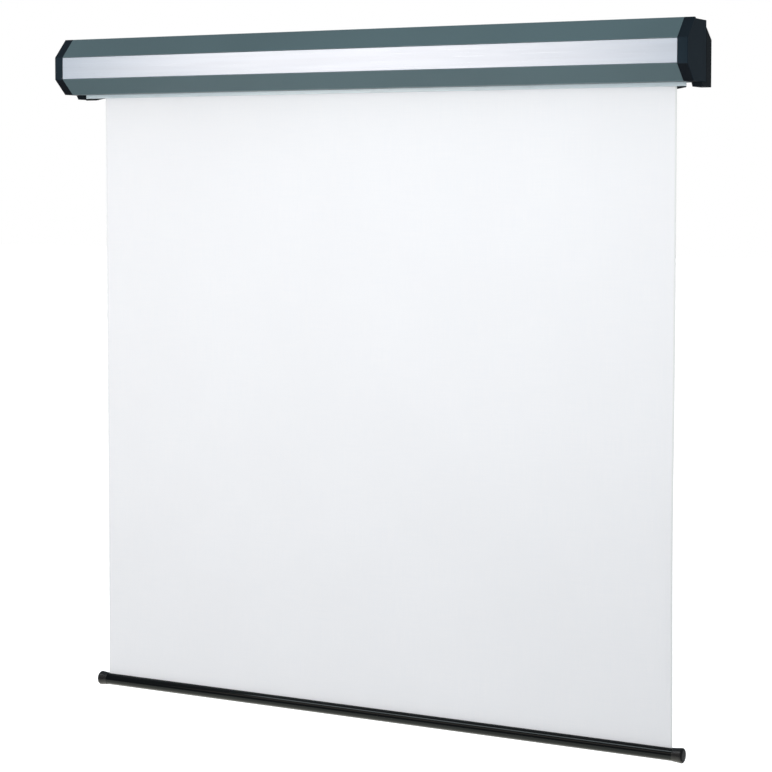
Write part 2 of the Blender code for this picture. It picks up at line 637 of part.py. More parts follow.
def make_bracket(side, label):
    """Cast bracket: a hollow cheek with the foot, a wall flange with slots and a tongue for the casing."""
    back = CASE_DEPTH + WALL_GAP
    front = CASE_DEPTH + SEAT
    foot_low, foot_top = -SEAT - FOOT_HEIGHT, -SEAT
    foot_front = CASE_DEPTH - FOOT_REACH
    outline = [(foot_front, foot_top), (foot_front + FOOT_SLANT, foot_low), (back, foot_low),
               (back, BRACKET_TOP_REAR), (front, BRACKET_TOP_FRONT), (front, foot_top)]
    inner, outer = side * (CASE_END + SEAT), side * CAP_FACE
    bracket = along_x("wall_bracket_" + label, [outline], min(inner, outer), max(inner, outer),
                      "black_steel", mesh=True)
    bevel(bracket, BRACKET_EDGE, 1)
    slope = (BRACKET_TOP_FRONT - BRACKET_TOP_REAR) / (back - front)
    wall = BRACKET_WALL
    pocket_top_front = BRACKET_TOP_FRONT - slope * wall - wall * 1.2
    pocket_top_rear = BRACKET_TOP_REAR + slope * wall - wall * 1.2
    rib = (TONGUE_WEB_HEIGHT - wall / 2, TONGUE_WEB_HEIGHT + wall / 2)
    bays = ([(front + wall, foot_low + wall), (back - wall, foot_low + wall),
             (back - wall, rib[0] - wall), (front + wall, rib[0] - wall)],
            [(front + wall, rib[0]), (back - wall, rib[0]),
             (back - wall, pocket_top_rear), (front + wall, pocket_top_front)])
    for number, bay in enumerate(bays, 1):
        ends = (side * (CASE_END - wall), side * (CAP_FACE - wall))
        combine(bracket, along_x("cut_bracket_bay_%s_%d" % (label, number), [bay], min(ends), max(ends),
                                 mesh=True), "DIFFERENCE")
    flange_far = side * (CASE_END - FLANGE_REACH)
    flange_near = side * (CASE_END + SEAT + wall)
    middle = ((flange_far + flange_near) / 2, UNDERSIDE_Z + (FLANGE_LOW + BRACKET_TOP_REAR) / 2)
    width, height = abs(flange_near - flange_far), BRACKET_TOP_REAR - FLANGE_LOW
    loops = [rectangle(width, height, FLANGE_CORNER, middle)]
    slot_x = side * (CASE_END - WALL_SLOT_INBOARD)
    for slot_height in WALL_SLOT_HEIGHTS:
        loops.append(rectangle(2 * WALL_SLOT_RADIUS, WALL_SLOT_LENGTH, WALL_SLOT_RADIUS,
                               (slot_x, UNDERSIDE_Z + slot_height), 5))
    flange = flat_curve("join_bracket_flange_" + label, loops, wall, ALONG_Y, (0, -wall / 2, 0))
    combine(bracket, place(as_mesh(flange)), "UNION")
    near, far = side * (CASE_END - TONGUE_NEAR), side * (CASE_END - TONGUE_NEAR - TONGUE_FAR)
    tongue_top = HANG_HEIGHT - HANG_RIB - SEAT
    tongue_back = front + HANG_GROOVE - 3 * SEAT
    hook = [(front, TONGUE_WEB_HEIGHT - wall), (back - wall / 2, TONGUE_WEB_HEIGHT - wall),
            (back - wall / 2, TONGUE_WEB_HEIGHT + wall), (back - wall, TONGUE_WEB_HEIGHT),
            (tongue_back, TONGUE_WEB_HEIGHT), (tongue_back, tongue_top), (front, tongue_top)]
    combine(bracket, along_x("join_bracket_hook_" + label, [hook], min(near, far), max(near, far),
                             mesh=True), "UNION")
    lock = lock_screw_place(side)
    combine(bracket, rod("cut_foot_hole_" + label, LOCK_SCREW_RADIUS + HOLE_CLEAR, ALONG_Z,
                         (lock[0], lock[1], UNDERSIDE_Z - FOOT_HEIGHT / 2), 4 * FOOT_HEIGHT, sides=20),
            "DIFFERENCE")
    seat_z = UNDERSIDE_Z + foot_low + LOCK_SCREW_HEAD_DEPTH + SEAT
    combine(bracket, rod("cut_foot_counterbore_" + label, LOCK_SCREW_HEAD + HOLE_CLEAR, ALONG_Z,
                         (lock[0], lock[1], seat_z - FOOT_HEIGHT), 2 * FOOT_HEIGHT, sides=24),
            "DIFFERENCE")
    screw_piece("bracket_screw_" + label, LOCK_SCREW_HEAD, LOCK_SCREW_HEAD_DEPTH, LOCK_SCREW_RADIUS,
                LOCK_SCREW_LENGTH, (pi, 0, 0), (lock[0], lock[1], seat_z - SEAT), "zinc")


def make_sheet():
    """The hanging sheet: from the roll's rear tangent down into the bar's mouth."""
    bottom = BAR_Z + BAR_RADIUS - BAR_KEY_CENTRE_IN + HEM_ROD_RADIUS + SEAT
    sheet_y = FRONT_Y + SHEET_DEPTH
    box("projection_sheet", (SHEET_LEFT, sheet_y - SHEET_THICKNESS / 2, bottom),
        (SHEET_RIGHT, sheet_y + SHEET_THICKNESS / 2, 0), "sheet")


def make_end_plate(side, label, bore):
    """Steel plate over the casing's end, inside the cap, held by three screws in the channels."""
    outline = casing_profile()
    clear = CAP_WALL + SEAT + HOLE_CLEAR
    walls = [-clear] * 6 + [-(clear + PLATE_REAR_CLEAR), -clear]
    outline = inset(outline, walls, closed=True)
    holes = [circle(PLATE_SCREW_RADIUS + HOLE_CLEAR, 16, centre=spot) for spot in SCREW_PLACES]
    holes.append([(AXIS_DEPTH + y, AXIS_HEIGHT + z) for y, z in bore])
    ends = (side * PLATE_INNER, side * PLATE_OUTER)
    along_x(label + "_plate", [outline] + holes, min(ends), max(ends), "zinc")
    for number, (depth, height) in enumerate(SCREW_PLACES, 1):
        screw_piece("%s_plate_screw_%d" % (label, number), PLATE_SCREW_HEAD, PLATE_SCREW_HEAD_DEPTH,
                    PLATE_SCREW_RADIUS, PLATE_SCREW_LENGTH, (0, side * pi / 2, 0),
                    (side * (PLATE_OUTER + SEAT), FRONT_Y + depth, UNDERSIDE_Z + height), "steel")


def make_motor():
    """Tubular motor at the left: head with the limit box, tube, square pin and its spring clip."""
    head_left = -PLATE_INNER + SEAT
    head_right = head_left + HEAD_LENGTH
    collar = HEAD_RADIUS - MOTOR_RADIUS
    profile = [(0, 0), (HEAD_RADIUS - collar, 0), (HEAD_RADIUS, -collar), (HEAD_RADIUS, collar - HEAD_LENGTH),
               (HEAD_RADIUS - collar, -HEAD_LENGTH), (0, -HEAD_LENGTH)]
    head = turned("motor_head", profile, (0, -pi / 2, 0), (head_left, AXIS_Y, 0), "black_plastic")
    screw_y = FRONT_Y + LIMIT_DEPTH
    box_left = head_left + (HEAD_LENGTH - LIMIT_BOX_WIDTH) / 2
    limit_box = box("join_limit_box", (box_left, AXIS_Y, -LIMIT_BOX_HEIGHT / 2),
                    (box_left + LIMIT_BOX_WIDTH, screw_y + LIMIT_BOX_PAST_SCREW, LIMIT_BOX_HEIGHT / 2))
    bevel(limit_box, LIMIT_BOX_EDGE, 2)
    combine(head, limit_box, "UNION")
    socket = MOTOR_PIN + 2 * SEAT
    combine(head, box("cut_pin_socket", (head_left - socket, AXIS_Y - socket / 2, -socket / 2),
                      (head_left + MOTOR_PIN_INSIDE + SEAT, AXIS_Y + socket / 2, socket / 2)), "DIFFERENCE")
    middle = head_left + HEAD_LENGTH / 2
    for way, label in ((-1, "up"), (1, "down")):
        screw_x = middle + way * LIMIT_SCREW_SPACING / 2
        low = -LIMIT_BOX_HEIGHT / 2
        combine(head, rod("cut_limit_hole_" + label, LIMIT_SCREW_SHANK + HOLE_CLEAR, ALONG_Z,
                          (screw_x, screw_y, low), 2 * (LIMIT_SCREW_LENGTH + SEAT), sides=24), "DIFFERENCE")
        make_limit_screw(label, screw_x, screw_y, low - SEAT)
    tube_left = head_right + SEAT
    about_axis("motor_tube", [circle(MOTOR_RADIUS)], tube_left, tube_left + MOTOR_LENGTH, "steel")
    pin_left = -(PLATE_OUTER + MOTOR_PIN_OUTSIDE)
    pin = about_axis("motor_pin", [rectangle(MOTOR_PIN, MOTOR_PIN, MOTOR_PIN_EDGE)], pin_left,
                     head_left + MOTOR_PIN_INSIDE, "zinc", mesh=True)
    clip_x = -(PLATE_OUTER + 2 * CLIP_WIRE)
    combine(pin, rod("cut_clip_hole", CLIP_WIRE + SEAT, ALONG_Z, (clip_x, AXIS_Y, 0), 2 * MOTOR_PIN,
                     sides=16), "DIFFERENCE")
    make_clip(clip_x)
    return tube_left + MOTOR_LENGTH


def make_limit_screw(label, x, y, top):
    """End-position adjuster: a round head with a six-sided socket, turned from below."""
    axis = bpy.data.objects.new("limit_axis_" + label, None)
    axis.location = (x, y, top)
    screen.objects.link(axis)
    profile = [(0, LIMIT_SCREW_LENGTH), (LIMIT_SCREW_SHANK, LIMIT_SCREW_LENGTH), (LIMIT_SCREW_SHANK, 0),
               (LIMIT_SCREW_HEAD, 0), (LIMIT_SCREW_HEAD, LIMIT_SCREW_EDGE - LIMIT_SCREW_HEAD_DEPTH),
               (LIMIT_SCREW_HEAD - LIMIT_SCREW_EDGE, -LIMIT_SCREW_HEAD_DEPTH), (0, -LIMIT_SCREW_HEAD_DEPTH)]
    screw = turned("limit_screw_" + label, profile, ALONG_Z, (0, 0, 0), "yellow_plastic", axis, steps=24)
    socket = rod("cut_limit_socket_" + label, LIMIT_SOCKET, ALONG_Z, (0, 0, -LIMIT_SCREW_HEAD_DEPTH),
                 2 * LIMIT_SOCKET_DEPTH, parent=axis, sides=6)
    combine(screw, socket, "DIFFERENCE")


def make_clip(x):
    """Hairpin of spring wire: one leg through the pin, the other sprung round its side."""
    half = MOTOR_PIN / 2
    aside = half + 2 * CLIP_WIRE
    bend = aside / 2
    route = [(0, -half - 2 * CLIP_WIRE), (0, half + CLIP_WIRE)]
    route += arc((bend, half + CLIP_WIRE), bend, pi, 0, 8)
    route += [(aside, half / 2), (aside + CLIP_WIRE / 2, 0), (aside, -half / 2), (aside + CLIP_WIRE, -half)]
    curve = bpy.data.curves.new("motor_clip", "CURVE")
    curve.dimensions = "3D"
    curve.bevel_depth = CLIP_WIRE
    curve.bevel_resolution = 2
    curve.use_fill_caps = True
    spline = curve.splines.new("POLY")
    spline.points.add(len(route) - 1)
    for point, (y, z) in zip(spline.points, route):
        point.co = (0, y, z, 1)
    clip = bpy.data.objects.new("motor_clip", curve)
    clip.location = (x, AXIS_Y, 0)
    place(clip, "steel")


def notched_disc(radius, count=36):
    """A round outline that fits the tube's bore, notched for the swelling round its keyway."""
    swell = KEY_RADIUS + KEY_WALL + HOLE_CLEAR
    key_at = TUBE_RADIUS - KEY_CENTRE_IN
    edge = acos((radius ** 2 + key_at ** 2 - swell ** 2) / (2 * radius * key_at))
    turn_in = atan2(radius * sin(edge), radius * cos(edge) - key_at)
    loop = arc((0, 0), radius, edge, 2 * pi - edge, count)
    loop += arc((key_at, 0), swell, -turn_in, turn_in - 2 * pi, 10)[1:-1]
    return [(-y, x) for x, y in loop]


def make_roller(motor_right):
    """Everything that turns: tube, spline, roll, crown, drive wheel, shaft, plug and outer ring."""
    axis = bpy.data.objects.new("roller_axis", None)
    axis.location = (0, AXIS_Y, 0)
    screen.objects.link(axis)
    facing = pi / 2
    about_axis("roller_tube", keyed_tube(TUBE_RADIUS, TUBE_WALL, KEY_RADIUS, KEY_CENTRE_IN, KEY_WALL,
                                         KEY_MOUTH, facing), TUBE_LEFT, TUBE_RIGHT, "aluminium", axis)
    rod("fabric_spline", SPLINE_RADIUS, (0, pi / 2, 0), (SHEET_SHIFT, 0, TUBE_RADIUS - KEY_CENTRE_IN),
        SHEET_WIDTH, "nylon", axis, sides=16)
    about_axis("fabric_roll", [circle(ROLL_RADIUS), circle(TUBE_RADIUS + SEAT)], SHEET_LEFT, SHEET_RIGHT,
               "sheet", axis)
    bore = TUBE_BORE - SEAT
    teeth = []
    for i in range(2 * CROWN_TEETH):
        radius = TUBE_RADIUS - (CROWN_TOOTH if i % 2 else 0)
        start = pi * i / CROWN_TEETH
        teeth += arc((0, 0), radius, start + CROWN_FLANK, start + pi / CROWN_TEETH - CROWN_FLANK, 1)
    motor_hole = circle(MOTOR_RADIUS + RUN_CLEAR)
    crown_right = TUBE_LEFT - SEAT
    crown = about_axis("limit_crown", [teeth, motor_hole], crown_right - CROWN_FLANGE, crown_right,
                       "black_plastic", axis, mesh=True)
    sleeve = about_axis("join_crown_sleeve", [notched_disc(bore), motor_hole],
                        crown_right - CROWN_FLANGE / 2, crown_right + CROWN_SLEEVE, None, axis, mesh=True)
    combine(crown, sleeve, "UNION")
    make_drive(axis, motor_right, bore)
    make_idler(axis, bore)


def make_drive(axis, motor_right, bore):
    """Output shaft, the spoked wheel on it that turns the tube, and the screw in the shaft's end."""
    shaft_left = motor_right + RUN_CLEAR
    shaft_right = shaft_left + SHAFT_LENGTH
    shaft = about_axis("output_shaft", [rectangle(SHAFT_SIZE, SHAFT_SIZE, SHAFT_EDGE)], shaft_left,
                       shaft_right, "steel", axis, mesh=True)
    combine(shaft, rod("cut_shaft_end", DRIVE_SCREW_RADIUS + HOLE_CLEAR, (0, pi / 2, 0),
                       (shaft_right, 0, 0), 2 * DRIVE_SCREW_LENGTH, parent=axis, sides=16), "DIFFERENCE")
    loops = [notched_disc(bore), rectangle(SHAFT_SIZE + 2 * SEAT, SHAFT_SIZE + 2 * SEAT, SHAFT_EDGE)]
    hub = SHAFT_SIZE / 2 * 2 ** 0.5 + WHEEL_HUB_WALL
    rim_radius = TUBE_RADIUS - KEY_CENTRE_IN - KEY_RADIUS - KEY_WALL - HOLE_CLEAR - WHEEL_RIM_WALL
    for i in range(WHEEL_SPOKES):
        middle = pi / 2 + pi * (2 * i + 1) / WHEEL_SPOKES
        outer_half = pi / WHEEL_SPOKES - WHEEL_RIB / 2 / rim_radius
        inner_half = pi / WHEEL_SPOKES - WHEEL_RIB / 2 / hub
        loops.append(arc((0, 0), rim_radius, middle - outer_half, middle + outer_half, 8)
                     + arc((0, 0), hub, middle + inner_half, middle - inner_half, 4))
    wheel_right = shaft_right - SEAT
    about_axis("drive_wheel", loops, wheel_right - WHEEL_WIDTH, wheel_right, "black_plastic", axis)
    screw_piece("drive_screw", DRIVE_SCREW_HEAD, DRIVE_SCREW_HEAD_DEPTH, DRIVE_SCREW_RADIUS,
                DRIVE_SCREW_LENGTH - SEAT, (0, pi / 2, 0), (shaft_right + SEAT, 0, 0), "zinc", axis)


def make_idler(axis, bore):
    """Plug in the tube's right end with a ball bearing that runs on the fixed pin."""
    plug_right = TUBE_RIGHT + SEAT + PLUG_FLANGE
    pocket = BEARING_RADIUS + SEAT
    bearing_right = plug_right - SEAT
    bearing_left = bearing_right - BEARING_WIDTH
    shoulder = bearing_left - SEAT
    plug_left = TUBE_RIGHT - PLUG_SLEEVE
    tunnel = CIRCLIP_RADIUS + RUN_CLEAR
    ring = [circle(TUBE_RADIUS), circle(pocket)]
    plug = about_axis("idler_plug", ring, TUBE_RIGHT + SEAT, plug_right, "black_plastic", axis, mesh=True)
    sleeve = about_axis("join_plug_sleeve", [notched_disc(bore)], plug_left, TUBE_RIGHT + SEAT * 3, None,
                        axis, mesh=True)
    combine(plug, sleeve, "UNION")
    deep = rod("cut_plug_pocket", pocket, (0, pi / 2, 0), (shoulder + BEARING_WIDTH, 0, 0),
               2 * BEARING_WIDTH, parent=axis, sides=ROUND)
    combine(plug, deep, "DIFFERENCE")
    through = rod("cut_plug_tunnel", tunnel, (0, pi / 2, 0), (plug_left + PLUG_SLEEVE / 2, 0, 0),
                  2 * PLUG_SLEEVE, parent=axis, sides=32)
    combine(plug, through, "DIFFERENCE")
    half = BEARING_WIDTH / 2
    seal = PIN_RADIUS + SEAT + RING_WALL + RUN_CLEAR
    race = BEARING_RADIUS - RING_WALL
    shield = BEARING_WIDTH * SHIELD_SHARE
    outer = [(BEARING_RADIUS, half), (BEARING_RADIUS, -half), (seal, -half), (seal, shield - half),
             (race, 2 * shield - half), (race, half - 2 * shield), (seal, half - shield), (seal, half)]
    turned("bearing_outer_ring", outer, (0, pi / 2, 0), (bearing_left + half, 0, 0), "steel", axis,
           closed=True, steps=24)
    inner_out = PIN_RADIUS + SEAT + RING_WALL
    inner = [(inner_out, half), (inner_out, -half), (PIN_RADIUS + SEAT, -half), (PIN_RADIUS + SEAT, half)]
    turned("bearing_inner_ring", inner, (0, pi / 2, 0), (bearing_left + half, AXIS_Y, 0), "steel",
           closed=True, steps=24)
    make_pin(bearing_left, bearing_right)


def make_pin(bearing_left, bearing_right):
    """Idler pin: threaded end and nut on the plate, collar against the bearing, circlip inside."""
    collar_left = bearing_right + SEAT
    shoulder = collar_left + PIN_COLLAR_LENGTH
    plate_side = PLATE_INNER - SEAT
    pin_left = bearing_left - PIN_PAST_BEARING
    pin_right = PLATE_OUTER + SEAT + NUT_HEIGHT + PIN_PAST_NUT
    groove_right = bearing_left - SEAT
    groove_left = groove_right - CIRCLIP_THICKNESS - 2 * SEAT
    groove = PIN_RADIUS - CIRCLIP_GROOVE
    inboard = plate_side - PIN_SHOULDER_LENGTH
    stop = PIN_RADIUS + SEAT + RING_WALL
    profile = [(0, pin_right), (PIN_RADIUS - PIN_CHAMFER, pin_right), (PIN_RADIUS, pin_right - PIN_CHAMFER),
               (PIN_RADIUS, plate_side), (PIN_COLLAR_RADIUS, plate_side), (PIN_COLLAR_RADIUS, inboard),
               (PIN_RADIUS, inboard), (PIN_RADIUS, shoulder), (stop, shoulder), (stop, collar_left),
               (PIN_RADIUS, collar_left), (PIN_RADIUS, groove_right), (groove, groove_right),
               (groove, groove_left), (PIN_RADIUS, groove_left), (PIN_RADIUS, pin_left + PIN_CHAMFER),
               (PIN_RADIUS - PIN_CHAMFER, pin_left), (0, pin_left)]
    turned("idler_pin", profile, (0, pi / 2, 0), (0, AXIS_Y, 0), "zinc", steps=20)
    hexagon = circle(NUT_ACROSS / 2 / cos(pi / 6), 6)
    nut_left = PLATE_OUTER + SEAT
    about_axis("idler_nut", [hexagon, circle(PIN_RADIUS + SEAT, 24)], nut_left, nut_left + NUT_HEIGHT, "zinc")
    ring_in = groove + SEAT
    clip = arc((0, 0), CIRCLIP_RADIUS, CIRCLIP_GAP, 2 * pi - CIRCLIP_GAP, 20)
    clip += arc((0, 0), ring_in, 2 * pi - CIRCLIP_GAP, CIRCLIP_GAP, 20)
    about_axis("pin_circlip", [clip], groove_left + SEAT, groove_right - SEAT, "steel")


def make_grommet(cap):
    """Rubber inlet for the supply lead in the top of the left cap."""
    x = -(CASE_END + CAP_RIM / 2)
    y = FRONT_Y + CASE_DEPTH - GROMMET_BACK
    top = UNDERSIDE_Z + CASE_HEIGHT - TOP_STEP
    combine(cap, rod("cut_cap_inlet", GROMMET_RADIUS + SEAT, ALONG_Z, (x, y, top), 6 * CAP_WALL, sides=32),
            "DIFFERENCE")
    above, below = SEAT, -CAP_WALL - SEAT
    profile = [(GROMMET_RADIUS, above + GROMMET_LIP), (GROMMET_FLANGE, above + GROMMET_LIP * 0.6),
               (GROMMET_FLANGE, above), (GROMMET_RADIUS, above), (GROMMET_RADIUS, below),
               (GROMMET_FLANGE, below), (GROMMET_RADIUS, below - GROMMET_LIP),
               (GROMMET_BORE, below - GROMMET_LIP), (GROMMET_BORE, above + GROMMET_LIP)]
    turned("cable_grommet", profile, ALONG_Z, (x, y, top), "rubber", closed=True, steps=24)


def make_bar():
    """Weight bar: a keyed tube, the sheet's hem rod in its keyway and a cap over each end."""
    lift = bpy.data.objects.new("bar_lift_axis", None)
    lift.location = (SHEET_SHIFT, FRONT_Y + SHEET_DEPTH, BAR_Z)
    screen.objects.link(lift)
    half = SHEET_WIDTH / 2 + BAR_PAST_SHEET
    loops = keyed_tube(BAR_RADIUS, BAR_WALL, BAR_KEY_RADIUS, BAR_KEY_CENTRE_IN, BAR_KEY_WALL, BAR_MOUTH, pi / 2)
    tube = flat_curve("bar_tube", loops, 2 * half, ALONG_X, (0, 0, 0))
    place(tube, "black_bar", lift)
    rod("hem_rod", HEM_ROD_RADIUS, (0, pi / 2, 0), (0, 0, BAR_RADIUS - BAR_KEY_CENTRE_IN), SHEET_WIDTH,
        "steel", lift, sides=20)
    socket = BAR_RADIUS + SEAT
    mouth = SHEET_WIDTH / 2 + BAR_CAP_START
    tip = mouth + BAR_CAP_LENGTH
    floor = half + SEAT
    shoulder = BAR_CAP_RADIUS - BAR_CAP_FLARE
    dome = arc((tip - BAR_CAP_DOME, BAR_CAP_RADIUS - BAR_CAP_DOME), BAR_CAP_DOME, 0, pi / 2, 4)
    outer = [(0, tip)] + [(radius, x) for x, radius in dome]
    outer += [(shoulder, mouth + BAR_CAP_SKIRT), (shoulder, mouth), (socket, mouth),
              (socket, floor), (0, floor)]
    for side, label in ((-1, "left"), (1, "right")):
        turned("bar_cap_" + label, outer, (0, side * pi / 2, 0), (0, 0, 0), "black_bar", lift, steps=36)


for obj in list(bpy.data.objects):
    bpy.data.objects.remove(obj)
screen = bpy.data.collections.new("projection_screen")
cutters = bpy.data.collections.new("cutters")
bpy.context.scene.collection.children.link(screen)
bpy.context.scene.collection.children.link(cutters)

make_casing()
make_trim()
hooked_strip("slot_lip", LIP_BACK, -1, LIP_DROP, "light_lip")
hooked_strip("rear_slot_rail", RAIL_FRONT, 1, RAIL_DROP, "black_plastic")
left_cap = make_end_cap(-1, "left")
make_end_cap(1, "right")
make_grommet(left_cap)
for bracket_side, bracket_label in ((-1, "left"), (1, "right")):
    make_bracket(bracket_side, bracket_label)
make_sheet()
pin_hole = rectangle(MOTOR_PIN + 2 * SEAT, MOTOR_PIN + 2 * SEAT, MOTOR_PIN_EDGE)
make_end_plate(-1, "motor", pin_hole)
make_end_plate(1, "idler", circle(PIN_RADIUS + SEAT, 24))
make_roller(make_motor())
make_bar()
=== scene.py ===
"""Looks of a motor-driven projection screen: a long octagonal casing, a white sheet and a weight bar."""
from math import pi, radians

import bmesh
import bpy
import numpy as np
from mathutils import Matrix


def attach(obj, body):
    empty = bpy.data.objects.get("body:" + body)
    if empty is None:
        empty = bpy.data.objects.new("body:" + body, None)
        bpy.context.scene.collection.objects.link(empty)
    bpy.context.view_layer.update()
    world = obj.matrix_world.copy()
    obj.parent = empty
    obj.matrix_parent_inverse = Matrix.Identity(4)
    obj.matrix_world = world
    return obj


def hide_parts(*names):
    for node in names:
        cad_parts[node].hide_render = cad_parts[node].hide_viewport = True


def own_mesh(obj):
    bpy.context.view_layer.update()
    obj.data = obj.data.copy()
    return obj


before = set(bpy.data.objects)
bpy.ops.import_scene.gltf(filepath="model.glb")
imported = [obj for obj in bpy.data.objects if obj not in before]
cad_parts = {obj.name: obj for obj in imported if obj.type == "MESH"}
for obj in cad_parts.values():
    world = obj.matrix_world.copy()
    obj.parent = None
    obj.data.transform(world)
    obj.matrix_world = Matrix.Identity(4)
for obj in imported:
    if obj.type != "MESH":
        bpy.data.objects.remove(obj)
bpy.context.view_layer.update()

# The view
# A long lens from the right, a little below the casing, as a catalogue picture of a hung screen is taken.
VIEW_FROM = (2.3862, -4.4567, -0.2793)
VIEW_TURN = radians(27.927)
VIEW_DOWN = radians(2.925)
VIEW_LENS = 98.314
VIEW_SHIFT = -0.13
view = bpy.data.cameras.new("view")
view.lens = VIEW_LENS
view.shift_y = VIEW_SHIFT
view_holder = bpy.data.objects.new("view", view)
view_holder.location = VIEW_FROM
view_holder.rotation_euler = (pi / 2 - VIEW_DOWN, 0, VIEW_TURN)
bpy.context.collection.objects.link(view_holder)
bpy.context.scene.camera = view_holder
bpy.context.scene.view_settings.view_transform = "Standard"


# The studio
# A white room without corners: three soft lamps ahead for the matt surfaces, a warm one that only gloss
# shows, along the casing's band, one behind, and an even fill that grows lighter upwards. The floor lies
# below the bar, keeps its shadow and is clear from below.
class Signal:
    """A socket of a material's nodes. Arithmetic on it adds Math nodes."""

    def __init__(self, nodes, socket):
        self.nodes = nodes
        self.socket = socket

    def maths(self, operation, first, second=0.0):
        return self.nodes.add("Math", {"operation": operation}, {0: first, 1: second})

    def __add__(self, other):
        return self.maths("ADD", self, other)

    def __sub__(self, other):
        return self.maths("SUBTRACT", self, other)

    def __rsub__(self, other):
        return self.maths("SUBTRACT", other, self)

    def __mul__(self, other):
        return self.maths("MULTIPLY", self, other)

    __radd__ = __add__
    __rmul__ = __mul__


class Nodes:
    """The node tree of a finish, of the floor or of the room."""

    def __init__(self, tree):
        self.tree = tree

    def add(self, kind, settings=None, values=None, output=0):
        """A new node: its settings are set first, then its sockets take their values or links."""
        made = self.tree.nodes.new("ShaderNode" + kind)
        for name, value in (settings or {}).items():
            setattr(made, name, value)
        for name, value in (values or {}).items():
            self.feed(made, name, value)
        return Signal(self, self.find(made.outputs, output)) if made.outputs else made

    def find(self, sockets, name):
        """A socket by its place in the list or by its identifier."""
        if isinstance(name, int):
            return sockets[name]
        return next(socket for socket in sockets if socket.identifier == name)

    def feed(self, node, name, value):
        socket = self.find(node.inputs, name)
        if isinstance(value, Signal):
            self.tree.links.new(value.socket, socket)
        else:
            socket.default_value = value


# Straight rays see white, gloss mirrors a dimmer and cooler room, and all else gets the fill.
FILL = 0.47
SKY_LIFT = 0.35
ROOM_IN_GLOSS = 0.44
FILL_TINT = (0.965, 1.0, 1.035, 1)
GLOSS_TINT = (0.93, 1.045, 1.13, 1)
world = bpy.data.worlds.new("room")
world.use_nodes = True
bpy.context.scene.world = world
room = Nodes(world.node_tree)
straight = room.add("LightPath", output="Is Camera Ray")
glossy = room.add("LightPath", output="Is Glossy Ray") + room.add("LightPath", output="Is Transmission Ray")
background = world.node_tree.nodes["Background"]
tint = room.add("Mix", {"data_type": "RGBA"}, {
    "Factor_Float": glossy, "A_Color": FILL_TINT, "B_Color": GLOSS_TINT}, output="Result_Color")
room.feed(background, "Color", room.add("Mix", {"data_type": "RGBA"}, {
    "Factor_Float": straight, "A_Color": tint, "B_Color": (1, 1, 1, 1)}, output="Result_Color"))
height = room.add("SeparateXYZ", {}, {"Vector": room.add("TexCoord", output="Generated")}, output="Z")
soft = (height * SKY_LIFT + 1) * FILL
room.feed(background, "Strength", straight + glossy * ROOM_IN_GLOSS + (1 - straight - glossy) * soft)

FLOOR_Z = -2.05
FLOOR_REACH = 40.0
FLOOR_TONE = (0.66, 0.66, 0.66, 1)
FLOOR_GLOW = 0.75
floor_mesh = bpy.data.meshes.new("floor")
floor_corners = np.array([(-1, -1, 0), (1, -1, 0), (1, 1, 0), (-1, 1, 0)]) * FLOOR_REACH + (0, 0, FLOOR_Z)
floor_mesh.from_pydata(floor_corners.tolist(), [], [(0, 1, 2, 3)])
floor = bpy.data.objects.new("floor", floor_mesh)
bpy.context.collection.objects.link(floor)
floor_finish = bpy.data.materials.new("floor_white")
floor_finish.use_nodes = True
floor_finish.node_tree.nodes.clear()
paint = Nodes(floor_finish.node_tree)
matt = paint.add("BsdfDiffuse", {}, {"Color": FLOOR_TONE})
glow = paint.add("Emission", {}, {"Strength": paint.add("LightPath", output="Is Camera Ray") * FLOOR_GLOW})
lit = paint.add("AddShader", {}, {0: matt, 1: glow})
clear = paint.add("BsdfTransparent", {}, {})
from_below = paint.add("NewGeometry", output="Backfacing")
paint.add("OutputMaterial", {}, {"Surface": paint.add("MixShader", {}, {0: from_below, 1: lit, 2: clear})})
floor_mesh.materials.append(floor_finish)

WHITE = (1.0, 1.0, 1.0)


def soft_lamp(name, place, aim, size, power, colour=WHITE, matt=True, gloss=False):
    """A rectangular lamp of so many metres and watts that faces its aim.

    It lights matt surfaces, shows in glossy ones, or both. Its long side lies across the aim's direction.
    """
    lamp = bpy.data.lights.new(name, "AREA")
    lamp.color = colour
    lamp.shape = "RECTANGLE"
    lamp.size, lamp.size_y = size
    lamp.energy = power
    holder = bpy.data.objects.new(name, lamp)
    holder.location = place
    holder.visible_camera = False
    holder.visible_diffuse = matt
    holder.visible_glossy = gloss
    way = np.subtract(aim, place)
    holder.rotation_euler = (np.arctan2(np.hypot(way[0], way[1]), -way[2]), 0,
                             np.arctan2(way[1], way[0]) - pi / 2)
    bpy.context.collection.objects.link(holder)
    return holder


soft_lamp("left_lamp", (-1.4, -2.0, -0.4), (0.0, 0.0, -0.5), (1.0, 1.0), 10.8)
soft_lamp("right_lamp", (0.6, -2.0, 0.1), (0.3, 0.0, -0.3), (1.0, 1.0), 16.6)
soft_lamp("front_lamp", (-1.70, -3.5, 0.35), (0.0, -0.1, -0.2), (2.1, 1.2), 18.8,
          colour=(1.0, 0.88, 0.79))
soft_lamp("gloss_lamp", (-1.66, -3.48, 0.347), (0.04, -0.08, -0.203), (2.25, 1.2), 18.2,
          colour=(1.0, 0.75, 0.61), matt=False, gloss=True)
soft_lamp("rear_lamp", (-0.3, 3.8, 1.2), (0.0, 0.0, -0.6), (2.4, 2.0), 64.0)


# The casing
# An extruded aluminium section, octagonal in front, powder coated slate grey, open along a slot below.
# Screw channels and a hanging rib run along it, and every corner is eased as the die leaves it.
def tone(red, green, blue):
    """A colour as linear light from its screen values of 0 to 255."""
    return tuple(((level / 255 + 0.055) / 1.055) ** 2.4 for level in (red, green, blue)) + (1.0,)


